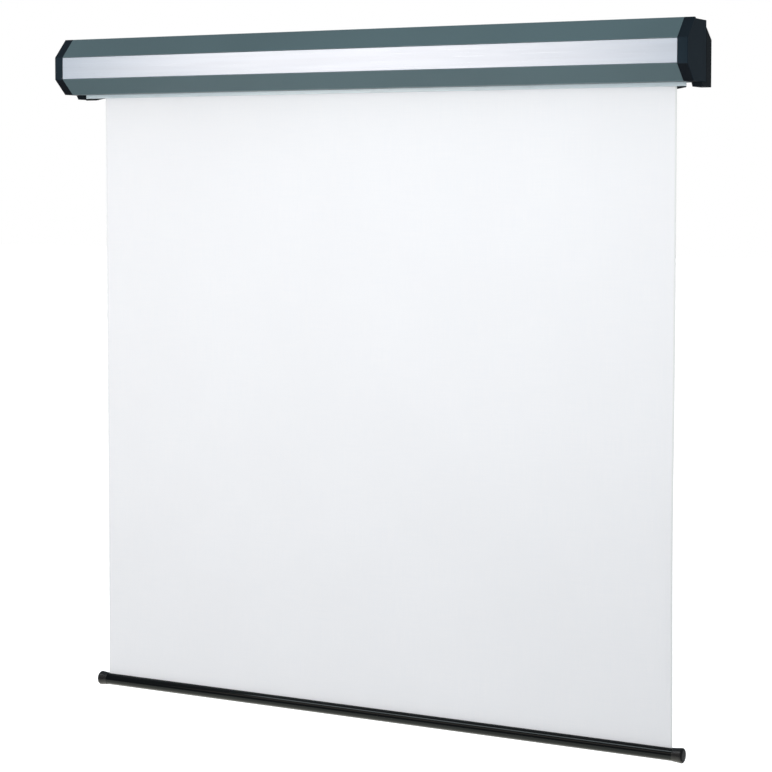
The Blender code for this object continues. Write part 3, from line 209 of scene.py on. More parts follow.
class Finish(Nodes):
    """A material: constants are set on the shader's own sockets, and patterns feed it through links."""

    def __init__(self, name, **fixed):
        self.material = bpy.data.materials.new(name)
        self.material.use_nodes = True
        super().__init__(self.material.node_tree)
        self.shader = self.tree.nodes["Principled BSDF"]
        for socket, value in fixed.items():
            self.shader.inputs[socket.replace("_", " ")].default_value = value
        self.place = self.add("TexCoord", output="Object")

    def noise(self, scale, stretch=(1, 1, 1), detail=2.0, at=None):
        """Soft noise from 0 to 1 with so many cells in a metre, drawn out where the stretch is small."""
        where = self.add("Mapping", {}, {"Vector": at or self.place, "Scale": stretch})
        return self.add("TexNoise", {}, {"Vector": where, "Scale": scale, "Detail": detail})

    def coordinate(self, axis, at=None):
        """One of the three distances of a point from the piece's own origin."""
        return self.add("SeparateXYZ", {}, {"Vector": at or self.place}, output=axis)

    def between(self, value, low, high, to_low=0.0, to_high=1.0):
        """A value's range carried smoothly to another, and held at its ends."""
        return self.add("MapRange", {"interpolation_type": "SMOOTHSTEP"},
                        {"Value": value, "From Min": low, "From Max": high, "To Min": to_low,
                         "To Max": to_high})

    def mix(self, share, first, second):
        """One colour passing into another."""
        return self.add("Mix", {"data_type": "RGBA"}, {"Factor_Float": share, "A_Color": first,
                                                       "B_Color": second}, output="Result_Color")

    def along(self, point):
        """The distance from a line that runs along X through a (y, z) point."""
        flat = self.add("VectorMath", {"operation": "MULTIPLY"}, {"Vector": self.place,
                                                                  "Vector_001": (0, 1, 1)})
        return self.add("VectorMath", {"operation": "DISTANCE"},
                        {"Vector": flat, "Vector_001": (0, point[0], point[1])}, output="Value")

    def painted_shade(self, share, colour):
        """The base colour passes into another, a painted shade, by a share, over what was fed before."""
        before = Signal(self, self.shader.inputs["Base Color"].links[0].from_socket)
        self.feed(self.shader, "Base Color", self.mix(share, before, colour))

    def wear(self, colour, roughness, relief, depth):
        """Feeds the shader: a colour, a roughness, and a bump so many metres deep."""
        self.feed(self.shader, "Base Color", colour)
        self.feed(self.shader, "Roughness", roughness)
        bump = self.add("Bump", {}, {"Height": relief, "Distance": depth, "Strength": 1.0})
        self.feed(self.shader, "Normal", bump)


def turn_sense(outline):
    """Half the sum of each edge's cross product: more than 0 where an outline runs anticlockwise."""
    ahead = np.roll(outline, -1, 0)
    return (outline[:, 0] * ahead[:, 1] - ahead[:, 0] * outline[:, 1]).sum() / 2


def eased(corners, radii, steps=5):
    """An outline with eased corners: (1-t)^2 A + 2t(1-t) P + t^2 B for t from 0 to 1.

    P is a corner, and A and B lie on its two edges, its radius times the cotangent of half its angle away.
    """
    corners = np.asarray(corners, float)
    before, after = np.roll(corners, 1, 0) - corners, np.roll(corners, -1, 0) - corners
    length_before = np.linalg.norm(before, axis=1, keepdims=True)
    length_after = np.linalg.norm(after, axis=1, keepdims=True)
    before, after = before / length_before, after / length_after
    half = np.arccos(np.clip((before * after).sum(1), -1, 1)) / 2
    reach = (np.broadcast_to(radii, len(corners)) / np.tan(half))[:, None]
    reach = np.minimum(reach, 0.49 * np.minimum(length_before, length_after))
    t = np.linspace(0, 1, steps)[None, :, None]
    start, end = (corners + before * reach)[:, None], (corners + after * reach)[:, None]
    line = (start * (1 - t) ** 2 + corners[:, None] * 2 * t * (1 - t) + end * t ** 2).reshape(-1, 2)
    return line[np.linalg.norm(line - np.roll(line, 1, 0), axis=1) > 1e-6]


def grid_faces(rows, columns, wrap_rows=False, wrap_columns=True):
    """Four-cornered faces between neighbours on a grid, whose last row or column may meet the first."""
    row, column = np.meshgrid(np.arange(rows if wrap_rows else rows - 1),
                              np.arange(columns if wrap_columns else columns - 1), indexing="ij")
    next_row, next_column = (row + 1) % rows, (column + 1) % columns
    corners = (row * columns + column, row * columns + next_column,
               next_row * columns + next_column, next_row * columns + column)
    return np.stack([one.ravel() for one in corners], 1)


def piece(name, mesh, finish, node, sharp=40.0):
    """Finishes a mesh as the piece that stands for a CAD node, which it hides: its material, shading and
    body.
    """
    mesh.shade_smooth()
    mesh.set_sharp_from_angle(angle=radians(sharp))
    mesh.materials.clear()
    mesh.materials.append(finish.material)
    made = bpy.data.objects.new(name, mesh)
    bpy.context.collection.objects.link(made)
    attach(made, BODY_OF[node])
    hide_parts(node)
    return made


def level_faces(made):
    """Keeps wide flat faces flat in the light beside the narrow rounds at their edges."""
    modifier = made.modifiers.new("level", "WEIGHTED_NORMAL")
    modifier.weight = 100
    modifier.keep_sharp = True
    return made


def carried(name, outline, stations, finish, node, insets=0.0, lifts=0.0, centre=None):
    """An outline of (depth, height) carried along X: x is the station, y and z the outline's own.

    At each station it shrinks by an inset along its normals, which rounds the piece's ends, and what lies
    below its zero height rises by a lift, for a lower edge that isn't level.
    """
    outline = np.asarray(outline, float)
    if turn_sense(outline) < 0:
        outline = outline[::-1]
    chord = np.roll(outline, -1, 0) - np.roll(outline, 1, 0)
    outwards = np.stack([chord[:, 1], -chord[:, 0]], 1) / np.linalg.norm(chord, axis=1, keepdims=True)
    rows, columns = len(stations), len(outline)
    section = outline[None] - outwards[None] * np.broadcast_to(insets, rows)[:, None, None]
    points = np.empty((rows, columns, 3))
    points[..., 0] = np.asarray(stations)[:, None]
    points[..., 1:] = section + (centre or (FRONT_Y, UNDERSIDE_Z))
    points[..., 2] += np.broadcast_to(lifts, rows)[:, None] * (outline[:, 1] < 0)
    start = list(range(columns))[::-1]
    end = list(range((rows - 1) * columns, rows * columns))
    mesh = bpy.data.meshes.new(name)
    mesh.from_pydata(points.reshape(-1, 3).tolist(), [], grid_faces(rows, columns).tolist() + [start, end])
    return piece(name, mesh, finish, node)


# Depths run back from the casing's front face and heights up from its underside, in metres. The outside's
# corners also have their radius, in millimetres, and the inside's share one.
FRONT_Y = -0.1530
UNDERSIDE_Z = -0.0700
CASE_DEPTH, RIDGE_DEPTH, SOLE_DEPTH = 0.119, 0.044, 0.041
CASE_TOP, RIDGE_HEIGHT = 0.1355, 0.1383
BAND_FOOT, BAND_TOP = 0.0365, 0.092
# Which body carries each solid: all that isn't named here stays with the casing.
BODY_OF = {node: body for body, nodes in
           (("roller", ("roller_tube", "fabric_roll", "fabric_spline", "limit_crown", "drive_wheel",
                        "output_shaft", "drive_screw", "idler_plug", "bearing_outer_ring")),
            ("weight_bar", ("bar_tube", "bar_cap_left", "bar_cap_right", "hem_rod")),
            ("adjuster_up", ("limit_screw_up",)), ("adjuster_down", ("limit_screw_down",)))
           for node in nodes}
BODY_OF.update({node: "casing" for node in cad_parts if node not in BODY_OF})
CASE_ENDS = np.array([-0.8112, 0.8112])
CASE_OUTSIDE = (
    (0.08485, 0, .3), (SOLE_DEPTH, 0, 1.2), (0, BAND_FOOT, .3), (0, 0.0373, .2), (0.0015, 0.0373, .2),
    (0.0015, 0.0912, .2), (0, 0.0912, .2), (0, BAND_TOP, .3), (RIDGE_DEPTH, RIDGE_HEIGHT, 1.0),
    (0.048, RIDGE_HEIGHT, 1.0), (0.052125, CASE_TOP, .8), (CASE_DEPTH, CASE_TOP, 1.0),
    (CASE_DEPTH, 0.1167, .3), (0.1245, 0.1167, .6), (0.1245, 0.1045, .6), (0.1227, 0.1045, .6),
    (0.1227, 0.1149, .4), (CASE_DEPTH, 0.1149, .4), (CASE_DEPTH, 0, 1.0), (0.09905, 0, .3))
CASE_INSIDE = (
    (0.09905, 0.008), (0.10105, 0.008), (0.10105, 0.002), (0.117, 0.002), (0.117, 0.1335),
    (0.0897, 0.1335), (0.0897, 0.1255), (0.0882, 0.1255), (0.0882, 0.1338), (0.0838, 0.1338),
    (0.0838, 0.1255), (0.0823, 0.1255), (0.0823, 0.1335), (0.0512, 0.1335), (0.0470, 0.1363),
    (0.0448, 0.1363), (0.0035, 0.0912), (0.0035, 0.0692), (0.0115, 0.0692), (0.0115, 0.0677),
    (0.0032, 0.0677), (0.0032, 0.0633), (0.0115, 0.0633), (0.0115, 0.0618), (0.0035, 0.0618),
    (0.0035, 0.0373), (0.0418, 0.002), (0.0583, 0.002), (0.0583, 0.010), (0.0598, 0.010),
    (0.0598, 0.0017), (0.0642, 0.0017), (0.0642, 0.010), (0.0657, 0.010), (0.0657, 0.002),
    (0.08285, 0.002), (0.08285, 0.008), (0.08485, 0.008))
case_corners = [corner[:2] for corner in CASE_OUTSIDE] + list(CASE_INSIDE)
INSIDE_RADIUS = 0.3
case_radii = [corner[2] for corner in CASE_OUTSIDE] + [INSIDE_RADIUS] * len(CASE_INSIDE)
case_radii = np.array(case_radii) / 1000

slate = Finish("slate_powder_coat", Metallic=0.0, Specular_IOR_Level=0.45)
drift = slate.noise(2.5)
peel = slate.noise(420.0, detail=3.0)
die_lines = slate.noise(1.0, (3, 700, 700), detail=1.0)
speck = slate.noise(1600.0, detail=1.0)
coat = slate.mix(slate.between(drift, 0.3, 0.7), tone(74, 96, 101), tone(79, 102, 107))
coat = slate.mix(slate.between(speck, 0.62, 0.80, 0.0, 0.35), coat, tone(118, 136, 140))
# Painted highlight: the coat is lighter along the four edges in front, in patches.
arris = 0.0
for edge in ((FRONT_Y, UNDERSIDE_Z + BAND_TOP + 0.0002), (FRONT_Y, UNDERSIDE_Z + BAND_FOOT - 0.0002),
             (FRONT_Y + RIDGE_DEPTH, UNDERSIDE_Z + RIDGE_HEIGHT), (FRONT_Y + SOLE_DEPTH, UNDERSIDE_Z)):
    arris = slate.between(slate.along(edge), 0.0004, 0.0022, 1.0, 0.0) + arris
painted_edge_highlight = arris * slate.between(slate.noise(14.0, (1, 6, 6), detail=4.0), 0.45, 0.75, 0.25, 1.0)
coat = slate.mix(painted_edge_highlight * 0.5, coat, tone(132, 150, 155))
slate.wear(coat, slate.between(drift, 0.3, 0.7, 0.40, 0.48), peel * 0.8 + die_lines * 0.4, 0.00006)
level_faces(carried("casing_shell", eased(case_corners, case_radii), CASE_ENDS, slate, "casing_extrusion"))


# The silver strip
# A brushed aluminium strip snapped into the recess of the front band, flush with the chamfers' edges.
# The brushing runs along it, so the gloss spreads up and down and its tone drifts in long streaks.
STRIP_CORNERS = ((0.0006, 0.0376), (0.0012, 0.0376), (0.0012, 0.0909), (0.0006, 0.0909), (0, 0.0903),
                 (0, 0.0382))
brushed = Finish("brushed_silver", Metallic=1.0)
streak = brushed.noise(1.0, (5, 1, 2600), detail=3.0)
broad = brushed.noise(1.0, (1.5, 1, 60), detail=2.0)
silver = brushed.mix(brushed.between(streak, 0.3, 0.7), tone(198, 216, 233), tone(206, 224, 240))
silver = brushed.mix(brushed.between(broad, 0.35, 0.65, 0.0, 0.5), silver, tone(194, 211, 227))
brushed.wear(silver, brushed.between(streak, 0.25, 0.75, 0.27, 0.38), streak, 0.00002)
level_faces(carried("front_strip", eased(STRIP_CORNERS, 0.00025), CASE_ENDS, brushed, "front_trim_strip"))


# The slot's two strips
# Thin strips hooked over the slot's flanges, with a rolled lower edge each. The front one is light grey and
# shows under the casing. The rear one is black, cut higher behind the sheet and left low at its ends.
def hook(face, away, drop):
    """The section of a hooked strip: a leg with a half-round foot, a bridge over the flange, a short tail."""
    wall, gap, bridge_low, tail = 0.0018, 0.0026, 0.0083, 0.0050
    turn = np.linspace(0, -pi, 11)
    foot = np.stack([wall / 2 * (1 + np.cos(turn)), wall / 2 * (1 + np.sin(turn)) - drop], 1)
    top = bridge_low + wall
    rest = np.array([(0, top), (2 * wall + gap, top), (2 * wall + gap, top - tail), (wall + gap, top - tail),
                     (wall + gap, bridge_low), (wall, bridge_low)])
    section = np.concatenate([foot, rest])
    return np.stack([face + away * section[:, 0], section[:, 1]], 1)


LIP_FACE, LIP_DROP = 0.08695, 0.0086
STRIP_STATIONS = np.array([-0.8017, -0.8014, -0.8009, 0.8009, 0.8014, 0.8017])
STRIP_INSETS = np.array([0.0005, 0.0002, 0, 0, 0.0002, 0.0005])
light = Finish("light_strip", Metallic=0.4)
light_drift = light.noise(6.0)
light_colour = light.mix(light.between(light_drift, 0.3, 0.7), tone(230, 244, 250), tone(236, 249, 254))
light_grime = light.between(light.noise(30.0, (1, 8, 8), detail=4.0), 0.55, 0.80, 0.0, 0.25)
light.wear(light.mix(light_grime, light_colour, tone(170, 174, 174)),
           light.between(light_drift, 0.3, 0.7, 0.34, 0.44), light.noise(1.0, (4, 900, 900)), 0.00004)
carried("slot_lip_strip", hook(LIP_FACE, -1, LIP_DROP), STRIP_STATIONS, light, "slot_lip", STRIP_INSETS)


def moulded(name, colour, sheen, grain=1400.0, depth=0.00005, level=0.35):
    """A black moulding: spark-eroded grain, a slow drift of tone, and faint grey dust in patches."""
    made = Finish(name, Specular_IOR_Level=level)
    slow = made.noise(7.0)
    grains = made.noise(grain, detail=2.0)
    lighter = tuple(min(1.0, channel * 1.25 + 0.001) for channel in colour[:3]) + (1.0,)
    base = made.mix(made.between(slow, 0.3, 0.7), colour, lighter)
    dust = made.between(made.noise(45.0, detail=5.0), 0.60, 0.88, 0.0, 0.12)
    made.wear(made.mix(dust, base, tone(78, 84, 90)), made.between(grains, 0.3, 0.7, sheen, sheen + 0.10),
              grains, depth)
    return made


RAIL_FACE, RAIL_DROP = 0.09695, 0.0130
rail_black = moulded("rail_black", tone(24, 26, 28), 0.45)
RAIL_STATIONS = np.array([-0.8108, -0.8105, -0.8100, -0.780, -0.742, 0.742, 0.777, 0.7967, 0.7972, 0.7975])
RAIL_LIFTS = np.array([0, 0, 0, 0, 0.006, 0.006, -0.0015, 0.002, 0.002, 0.002])
RAIL_INSETS = np.array([0.0005, 0.0002, 0, 0, 0, 0, 0, 0, 0.0002, 0.0005])
carried("slot_rail_strip", hook(RAIL_FACE, 1, RAIL_DROP), RAIL_STATIONS, rail_black, "rear_slot_rail",
        RAIL_INSETS, RAIL_LIFTS)


# The end caps
# Near-black mouldings with the casing's outline, pushed over its ends, with rounded outer edges.
# Two screws from behind hold each one, and the left one carries the rubber inlet of the supply lead.
def refined(node, finish, ease=0.0003, height_of=None):
    """A copy of a CAD node with merged corners and flat faces made whole, its edges eased by a bevel.

    A function of (x, depth, height) may give its corners other heights above the casing's underside, where
    x is the distance from the middle.
    """
    cast = bmesh.new()
    cast.from_mesh(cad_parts[node].data)
    bmesh.ops.remove_doubles(cast, verts=cast.verts, dist=1e-5)
    bmesh.ops.dissolve_limit(cast, angle_limit=radians(0.8), verts=cast.verts, edges=cast.edges)
    mesh = bpy.data.meshes.new(node + "_piece")
    cast.to_mesh(mesh)
    cast.free()
    if height_of:
        places = np.empty((len(mesh.vertices), 3))
        mesh.vertices.foreach_get("co", places.ravel())
        x, y, z = places.T
        places[:, 2] = UNDERSIDE_Z + height_of(np.abs(x), y - FRONT_Y, z - UNDERSIDE_Z)
        mesh.vertices.foreach_set("co", places.ravel())
        mesh.update()
    made = piece(node + "_piece", mesh, finish, node, 30.0)
    bevel = made.modifiers.new("ease", "BEVEL")
    bevel.width = ease
    bevel.segments = 2
    bevel.limit_method = "ANGLE"
    bevel.angle_limit = radians(30)
    return level_faces(made)


BAND_MIDDLE = 0.06
CORNER_FALL = 0.0025
RIDGE_SHARE = 0.62


def cap_height(x, depth, height):
    """The corner under the band falls by 0.0025 (1 - depth / 0.041), and the ridge keeps 0.62 of its rise."""
    corner = (height < BAND_MIDDLE) & (depth < SOLE_DEPTH)
    fall = np.where(corner, CORNER_FALL * (1 - depth / SOLE_DEPTH), 0)
    return height - fall - (1 - RIDGE_SHARE) * np.maximum(height - CASE_TOP, 0)


# Behind its outer face the rim carries painted shade on its chamfers, most of all on the lower ones. Each
# pair is where a painted shade begins and ends, as a distance from the middle or a height above the
# underside.
RIM_BACK, LOW_CHAMFER, HIGH_CHAMFER = (0.8338, 0.8348), (0.0345, 0.0375), (0.0905, 0.0935)
cap_black = moulded("cap_black_moulding", tone(24, 36, 44), 0.56, level=0.08)
cap_up = cap_black.coordinate("Z") - UNDERSIDE_Z
cap_out = cap_black.add("Math", {"operation": "ABSOLUTE"}, {0: cap_black.coordinate("X")})
on_rim = cap_black.between(cap_out, *RIM_BACK, 1.0, 0.0)
low_chamfer_shade = cap_black.between(cap_up, *LOW_CHAMFER, 0.8, 0.0)
high_chamfer_shade = cap_black.between(cap_up, *HIGH_CHAMFER, 0.0, 0.35)
cap_black.painted_shade(on_rim * (low_chamfer_shade + high_chamfer_shade), tone(6, 10, 16))
for side in ("left", "right"):
    refined("end_cap_" + side, cap_black, 0.0005, cap_height)

oxide = moulded("black_oxide_steel", tone(34, 36, 38), 0.34, 2400.0, 0.00002, 0.6)
for side in ("left", "right"):
    for number in ("1", "2"):
        refined("cap_screw_%s_%s" % (side, number), oxide, 0.0002)

rubber = moulded("grommet_rubber", tone(24, 24, 25), 0.70, 900.0, 0.00003, 0.3)
refined("cable_grommet", rubber, 0.0002)


# The wall brackets
# Cast brackets in black powder coat: a cheek with a foot under each cap, a slotted flange on the wall, and
# a tongue under the casing's rib. A screw through each foot locks the casing.
CHEEK_X, FLANGE_DEPTH, UPPER_EDGE = 0.81, 0.14, 0.095
EDGE_FALL, REAR_FALL, FALL_RUN = 0.0017, 0.0033, 0.034


def bracket_height(x, depth, height):
    """The upper edge of cheek and flange falls by 0.0017 + 0.0033 (depth - 0.119) / 0.034.

    The cheek's corners lie outside CHEEK_X, the flange's behind FLANGE_DEPTH.
    """
    edge = (height > UPPER_EDGE) & ((x > CHEEK_X) | (depth > FLANGE_DEPTH))
    return height - np.where(edge, EDGE_FALL + REAR_FALL * (depth - CASE_DEPTH) / FALL_RUN, 0)


bracket_coat = moulded("bracket_powder_coat", tone(15, 22, 27), 0.58, 380.0, 0.00010, 0.10)
for side in ("left", "right"):
    refined("wall_bracket_" + side, bracket_coat, 0.0004, bracket_height)


def metal(name, colour, sheen, scale, stretch=(1, 1, 1), depth=0.00002, blotch=0.12):
    """A bare metal: machining or drawing marks in its gloss, and slow blotches in its tone."""
    made = Finish(name, Metallic=1.0)
    marks = made.noise(scale, stretch, detail=3.0)
    slow = made.noise(55.0, detail=4.0)
    darker = tuple(channel * (1 - blotch) for channel in colour[:3]) + (1.0,)
    made.wear(made.mix(made.between(slow, 0.3, 0.7), darker, colour),
              made.between(marks, 0.25, 0.75, sheen, sheen + 0.14), marks, depth)
    return made


zinc = metal("zinc_plate", tone(178, 181, 178), 0.28, 300.0)
for side in ("left", "right"):
    refined("bracket_screw_" + side, zinc, 0.0002)


# The end plates
# Pressed steel plates, zinc plated, screwed into the casing's channels: one holds the motor's square pin,
# the other the idler's.
for side in ("motor", "idler"):
    refined(side + "_plate", zinc, 0.0003)
steel = metal("turned_steel", tone(150, 153, 156), 0.26, 1.0, (900, 60, 60))
for side in ("motor", "idler"):
    for number in ("1", "2", "3"):
        refined("%s_plate_screw_%s" % (side, number), steel, 0.0002)


# The motor
# A tubular motor: a painted steel tube and a black head with two yellow adjusters for the end positions.
# A square pin and a wire clip keep it from turning.
motor_paint = moulded("motor_tube_paint", tone(108, 112, 116), 0.36, 260.0, 0.00003, 0.5)
refined("motor_tube", motor_paint)
head_black = moulded("motor_head_black", tone(28, 29, 31), 0.42)
refined("motor_head", head_black, 0.0005)
refined("motor_pin", zinc)
refined("motor_clip", steel, 0.0002)
yellow = moulded("adjuster_yellow", tone(226, 188, 38), 0.40, 1200.0, 0.00003, 0.5)
for way in ("up", "down"):
    refined("limit_screw_" + way, yellow, 0.0002)


# The roller and its ends
# An extruded aluminium tube with a keyway, driven by the spoked wheel on the motor's shaft and centred by
# the crown. At the other end a plug runs on a ball bearing, a pin, a clip and a nut.
mill = metal("mill_aluminium", tone(200, 204, 208), 0.26, 1.0, (4, 800, 800), blotch=0.06)
refined("roller_tube", mill)
for node in ("limit_crown", "drive_wheel", "idler_plug"):
    refined(node, head_black)
refined("output_shaft", steel)
for node in ("drive_screw", "idler_nut", "pin_circlip", "idler_pin"):
    refined(node, zinc, 0.0002)
for node in ("bearing_outer_ring", "bearing_inner_ring"):
    refined(node, steel, 0.0002)
nylon = moulded("natural_nylon", tone(214, 212, 202), 0.45, 700.0, 0.00002, 0.5)
refined("fabric_spline", nylon)


# The sheet and its roll
# White coated glass cloth, half a millimetre thick, which hangs from the roll's rear and ends round a rod in
# the bar. Its weave is fine, and a thin greyer band runs along both its sides, fainter on the left.
SHEET_SIDES = (-0.746, 0.778)
SHEET_Y = -0.06125
SHEET_THICKNESS = 0.0005
SHEET_TOP_Z = 0.0
SHEET_FOOT_Z = -1.5495
EDGE_BAND = 0.0025
LEFT_BAND_SHARE = 0.35
THREAD_PITCH = 0.0009


def cloth_finish(name, uses_map):
    """White cloth: sin u + sin v of the weave, threads of uneven weight, a slow drift, grey edge bands."""
    made = Finish(name, Specular_IOR_Level=0.25, Sheen_Weight=0.15, Sheen_Roughness=0.5)
    flat = made.add("UVMap", {"uv_map": "cloth"}) if uses_map else made.place
    across, down = made.coordinate("X", flat), made.coordinate("Y", flat)
    warp, weft = (made.add("Math", {"operation": "SINE"}, {0: way * (2 * pi / THREAD_PITCH)})
                  for way in (across, down))
    threads = made.noise(1.0, (900, 12, 1), detail=1.0, at=flat) + made.noise(1.0, (12, 900, 1), detail=1.0,
                                                                              at=flat)
    drift = made.noise(3.0, detail=3.0, at=flat)
    white = made.mix(made.between(drift, 0.3, 0.7), tone(242, 243, 245), tone(244, 245, 247))
    white = made.mix(made.between(threads, 0.6, 1.4, 0.0, 0.5), white, tone(237, 240, 244))
    if uses_map:
        left = made.between(across, SHEET_SIDES[0] + EDGE_BAND, SHEET_SIDES[0] + 2 * EDGE_BAND, 1.0, 0.0)
        right = made.between(across, SHEET_SIDES[1] - 2 * EDGE_BAND, SHEET_SIDES[1] - EDGE_BAND)
        white = made.mix(left * LEFT_BAND_SHARE + right, white, tone(228, 231, 230))
    made.wear(white, made.between(threads, 0.6, 1.4, 0.72, 0.82), (warp + weft) * 0.25 + threads, 0.00003)
    return made


cloth = cloth_finish("screen_cloth", True)

# The hanging part: u runs across, v down. The right side draws in a little and curls back below, the left
# one curls less, and slow waves stand in it, which die out at the roll and at the bar.
# The rows crowd a little towards the bar.
ACROSS, DOWN = 150, 170
DRAW_IN, RIGHT_CURL, LEFT_CURL = 0.003, 0.0035, 0.0012
LONG_WAVE, SHORT_WAVE, RIPPLE = 0.0009, 0.0005, 0.00035
u, v = np.meshgrid(np.linspace(0, 1, ACROSS), np.linspace(0, 1, DOWN) ** 0.95)


def swell(v, centre, width):
    """A smooth hump: exp of minus the square of the distance from its centre over its width."""
    return np.exp(-((v - centre) / width) ** 2)


free = np.clip(v / 0.12, 0, 1) ** 2 * np.clip((0.985 - v) / 0.06, 0, 1)
draw_in = DRAW_IN * swell(v, 0.74, 0.20) * free
curl = RIGHT_CURL * swell(v, 0.84, 0.16) * free * (np.clip((u - 0.975) / 0.025, 0, 1) ** 2)
curl += LEFT_CURL * swell(v, 0.6, 0.3) * free * (np.clip((0.02 - u) / 0.02, 0, 1) ** 2)
waves = LONG_WAVE * np.sin(2 * pi * (1.3 * u + 0.25 * v) + 0.6)
waves += SHORT_WAVE * np.sin(2 * pi * (3.1 * u - 0.6 * v))
ripples = RIPPLE * np.sin(2 * pi * (17 * u + 1.2 * v)) * swell(v, 0.955, 0.035)
hang_x = SHEET_SIDES[0] + (SHEET_SIDES[1] - SHEET_SIDES[0]) * u - draw_in * np.clip((u - 0.5) * 2, 0, 1)
hang_y = SHEET_Y + waves * free + ripples * free + curl
hang_z = SHEET_TOP_Z + (SHEET_FOOT_Z - SHEET_TOP_Z) * v
half = SHEET_THICKNESS / 2
front_side = np.stack([hang_x, hang_y - half, hang_z], -1)
back_side = np.stack([hang_x, hang_y + half, hang_z], -1)[:, ::-1]
rounds = np.concatenate([front_side, back_side], 1)
columns = 2 * ACROSS
sheet_mesh = bpy.data.meshes.new("hanging_sheet")
top_rim = [[i, columns - 1 - i, columns - 2 - i, i + 1] for i in range(ACROSS - 1)]
last = (DOWN - 1) * columns
foot_rim = [[last + i, last + i + 1, last + columns - 2 - i, last + columns - 1 - i]
            for i in range(ACROSS - 1)]
side_faces = grid_faces(DOWN, columns)[:, ::-1].tolist()
sheet_mesh.from_pydata(rounds.reshape(-1, 3).tolist(), [], side_faces + top_rim + foot_rim)
flat_place = np.stack([SHEET_SIDES[0] + (SHEET_SIDES[1] - SHEET_SIDES[0]) * u, hang_z], -1)
flat_place = np.concatenate([flat_place, flat_place[:, ::-1]], 1).reshape(-1, 2)
corner_of = np.empty(len(sheet_mesh.loops), int)
sheet_mesh.loops.foreach_get("vertex_index", corner_of)
cloth_map = sheet_mesh.uv_layers.new(name="cloth")
cloth_map.uv.foreach_set("vector", flat_place[corner_of].ravel())
sheet = piece("hanging_sheet", sheet_mesh, cloth, "projection_sheet", 50.0)
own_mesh(sheet)

# The roll: a spiral whose radius grows by one thickness a turn, carried along X. Its wall is a little
# thinner than the cloth, so that a turn stands clear of the next.
ROLL_CENTRE = (-0.093, 0.0)
ROLL_RADIUS, ROLL_WALL, ROLL_TURNS = 0.0312, 0.00046, 1.45
roll_cloth = cloth_finish("rolled_cloth", False)
turns = np.linspace(-2 * pi * ROLL_TURNS, 0, 160)
rise = ROLL_RADIUS - SHEET_THICKNESS + SHEET_THICKNESS * turns / (2 * pi)
outer_line = np.stack([(rise + ROLL_WALL) * np.cos(turns), (rise + ROLL_WALL) * np.sin(turns)], 1)
inner_line = np.stack([rise * np.cos(turns), rise * np.sin(turns)], 1)[::-1]
carried("cloth_roll", np.concatenate([outer_line, inner_line]), np.linspace(*SHEET_SIDES, 3), roll_cloth,
        "fabric_roll", centre=ROLL_CENTRE)


# The weight bar
# A black anodised tube with a keyway, which the sheet's hem rod slides into, and a flared plastic cap over
# each end.
BAR_CENTRE = (-0.06125, -1.5618)
BAR_ENDS = (-0.760, 0.792)
BAR_RADIUS, KEY_RADIUS, KEY_IN, MOUTH = 0.0145, 0.0034, 0.0052, 0.0026
skin_angle, mouth_angle = np.arcsin(MOUTH / 2 / BAR_RADIUS), np.arcsin(MOUTH / 2 / KEY_RADIUS)
skin = np.linspace(skin_angle, 2 * pi - skin_angle, 120)
key = np.linspace(-mouth_angle, mouth_angle - 2 * pi, 28)
bar_round = np.stack([BAR_RADIUS * np.cos(skin), BAR_RADIUS * np.sin(skin)], 1)
bar_key = np.stack([BAR_RADIUS - KEY_IN + KEY_RADIUS * np.cos(key), KEY_RADIUS * np.sin(key)], 1)
bar_outline = np.concatenate([bar_round, bar_key]) @ np.array([[0.0, 1.0], [-1.0, 0.0]])
bar_black = Finish("bar_black_anodised", Specular_IOR_Level=0.12, Specular_Tint=(0.88, 0.98, 1.0, 1))
lines = bar_black.noise(1.0, (3, 900, 900), detail=2.0)
scuff = bar_black.between(bar_black.noise(1.0, (40, 260, 260), detail=5.0), 0.62, 0.80, 0.0, 0.35)
bar_tone = bar_black.mix(bar_black.between(lines, 0.3, 0.7), tone(7, 8, 9), tone(10, 11, 12))
bar_black.wear(bar_black.mix(scuff, bar_tone, tone(30, 32, 32)),
               bar_black.between(lines, 0.3, 0.7, 0.07, 0.11), lines, 0.000005)
bar = [carried("bar_tube_black", bar_outline, BAR_ENDS, bar_black, "bar_tube", centre=BAR_CENTRE)]


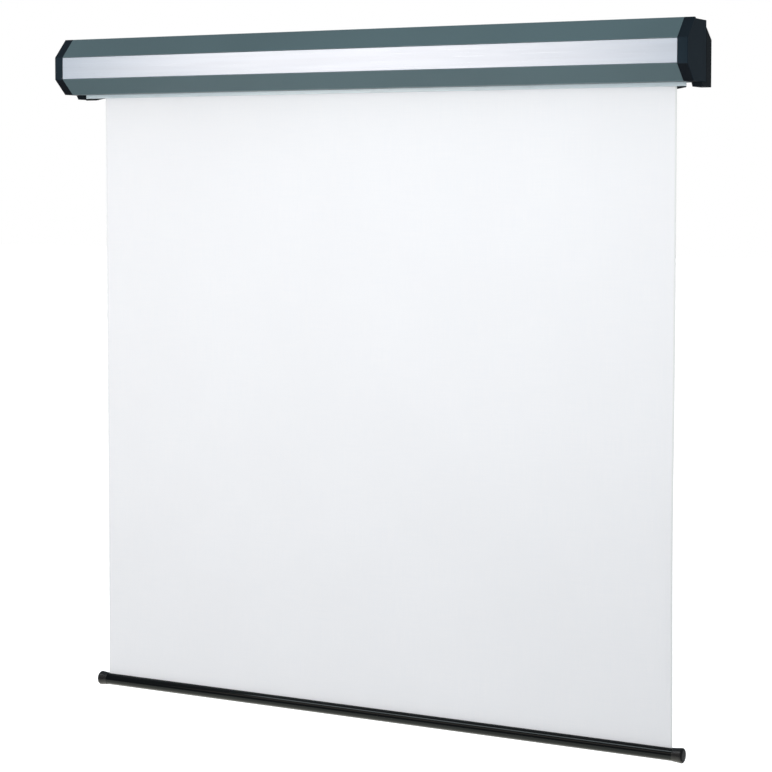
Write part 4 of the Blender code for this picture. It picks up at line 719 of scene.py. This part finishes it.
def turned(name, profile, finish, node, centre, steps=72):
    """A profile of (x, radius) turned about X: y is the radius times the cosine, z times the sine."""
    profile = np.asarray(profile, float)
    angle = np.linspace(0, 2 * pi, steps, endpoint=False)
    points = np.empty((len(profile), steps, 3))
    points[..., 0] = profile[:, :1]
    points[..., 1] = centre[0] + profile[:, 1:] * np.cos(angle)
    points[..., 2] = centre[1] + profile[:, 1:] * np.sin(angle)
    mesh = bpy.data.meshes.new(name)
    start = list(range(steps))[::-1]
    end = list(range((len(profile) - 1) * steps, len(profile) * steps))
    mesh.from_pydata(points.reshape(-1, 3).tolist(), [],
                     grid_faces(len(profile), steps).tolist() + [start, end])
    return piece(name, mesh, finish, node)


bar_cap = moulded("bar_cap_black", tone(11, 12, 14), 0.34, 1400.0, 0.00003, 0.2)
flare = np.linspace(0, 1, 12)
dome = np.linspace(0, pi / 2, 12)
# From its mouth outwards the cap's radius grows by 0.0020 t^1.5 over the flare, then a quarter round of the
# dome's radius closes it.
CAP_LENGTH, DOME, FLARE_RUN = 0.026, 0.005, 0.78
CAP_NECK, CAP_FLARE, CAP_RADIUS = 0.0151, 0.0020, 0.0171
cap_x = np.concatenate([[0.0002], [0.0004], CAP_LENGTH * FLARE_RUN * flare[1:],
                        CAP_LENGTH - DOME + DOME * np.sin(dome[1:-1]), [CAP_LENGTH]])
cap_radius = np.concatenate([[BAR_RADIUS], [0.0150], CAP_NECK + CAP_FLARE * flare[1:] ** 1.5,
                             CAP_RADIUS - DOME + DOME * np.cos(dome[1:-1]), [CAP_RADIUS - DOME]])
for side, mouth, way in (("left", -0.7475, -1), ("right", 0.7795, 1)):
    profile = np.stack([mouth + way * cap_x, cap_radius], 1)
    bar.append(turned("bar_cap_%s_black" % side, profile[::way], bar_cap, "bar_cap_" + side, BAR_CENTRE))
refined("hem_rod", steel)

# Two lamps that only the bar and its caps mirror: a strip high in front and a wide one close below.
mirrored = bpy.data.collections.new("bar_mirrors")
for made in bar:
    mirrored.objects.link(made)
over = soft_lamp("bar_over", (-0.93, -1.29, 0.75), (-0.93, -0.061, -1.56), (1.84, 0.7), 39.0,
                 colour=(0.97, 1.0, 1.0), matt=False, gloss=True)
under = soft_lamp("bar_under", (-0.35, -0.41, -1.80), (-0.35, -0.409, 0.0), (2.6, 1.08), 22.5,
                  colour=(1.0, 0.98, 0.86), matt=False, gloss=True)
for lamp in (over, under):
    lamp.light_linking.receiver_collection = mirrored
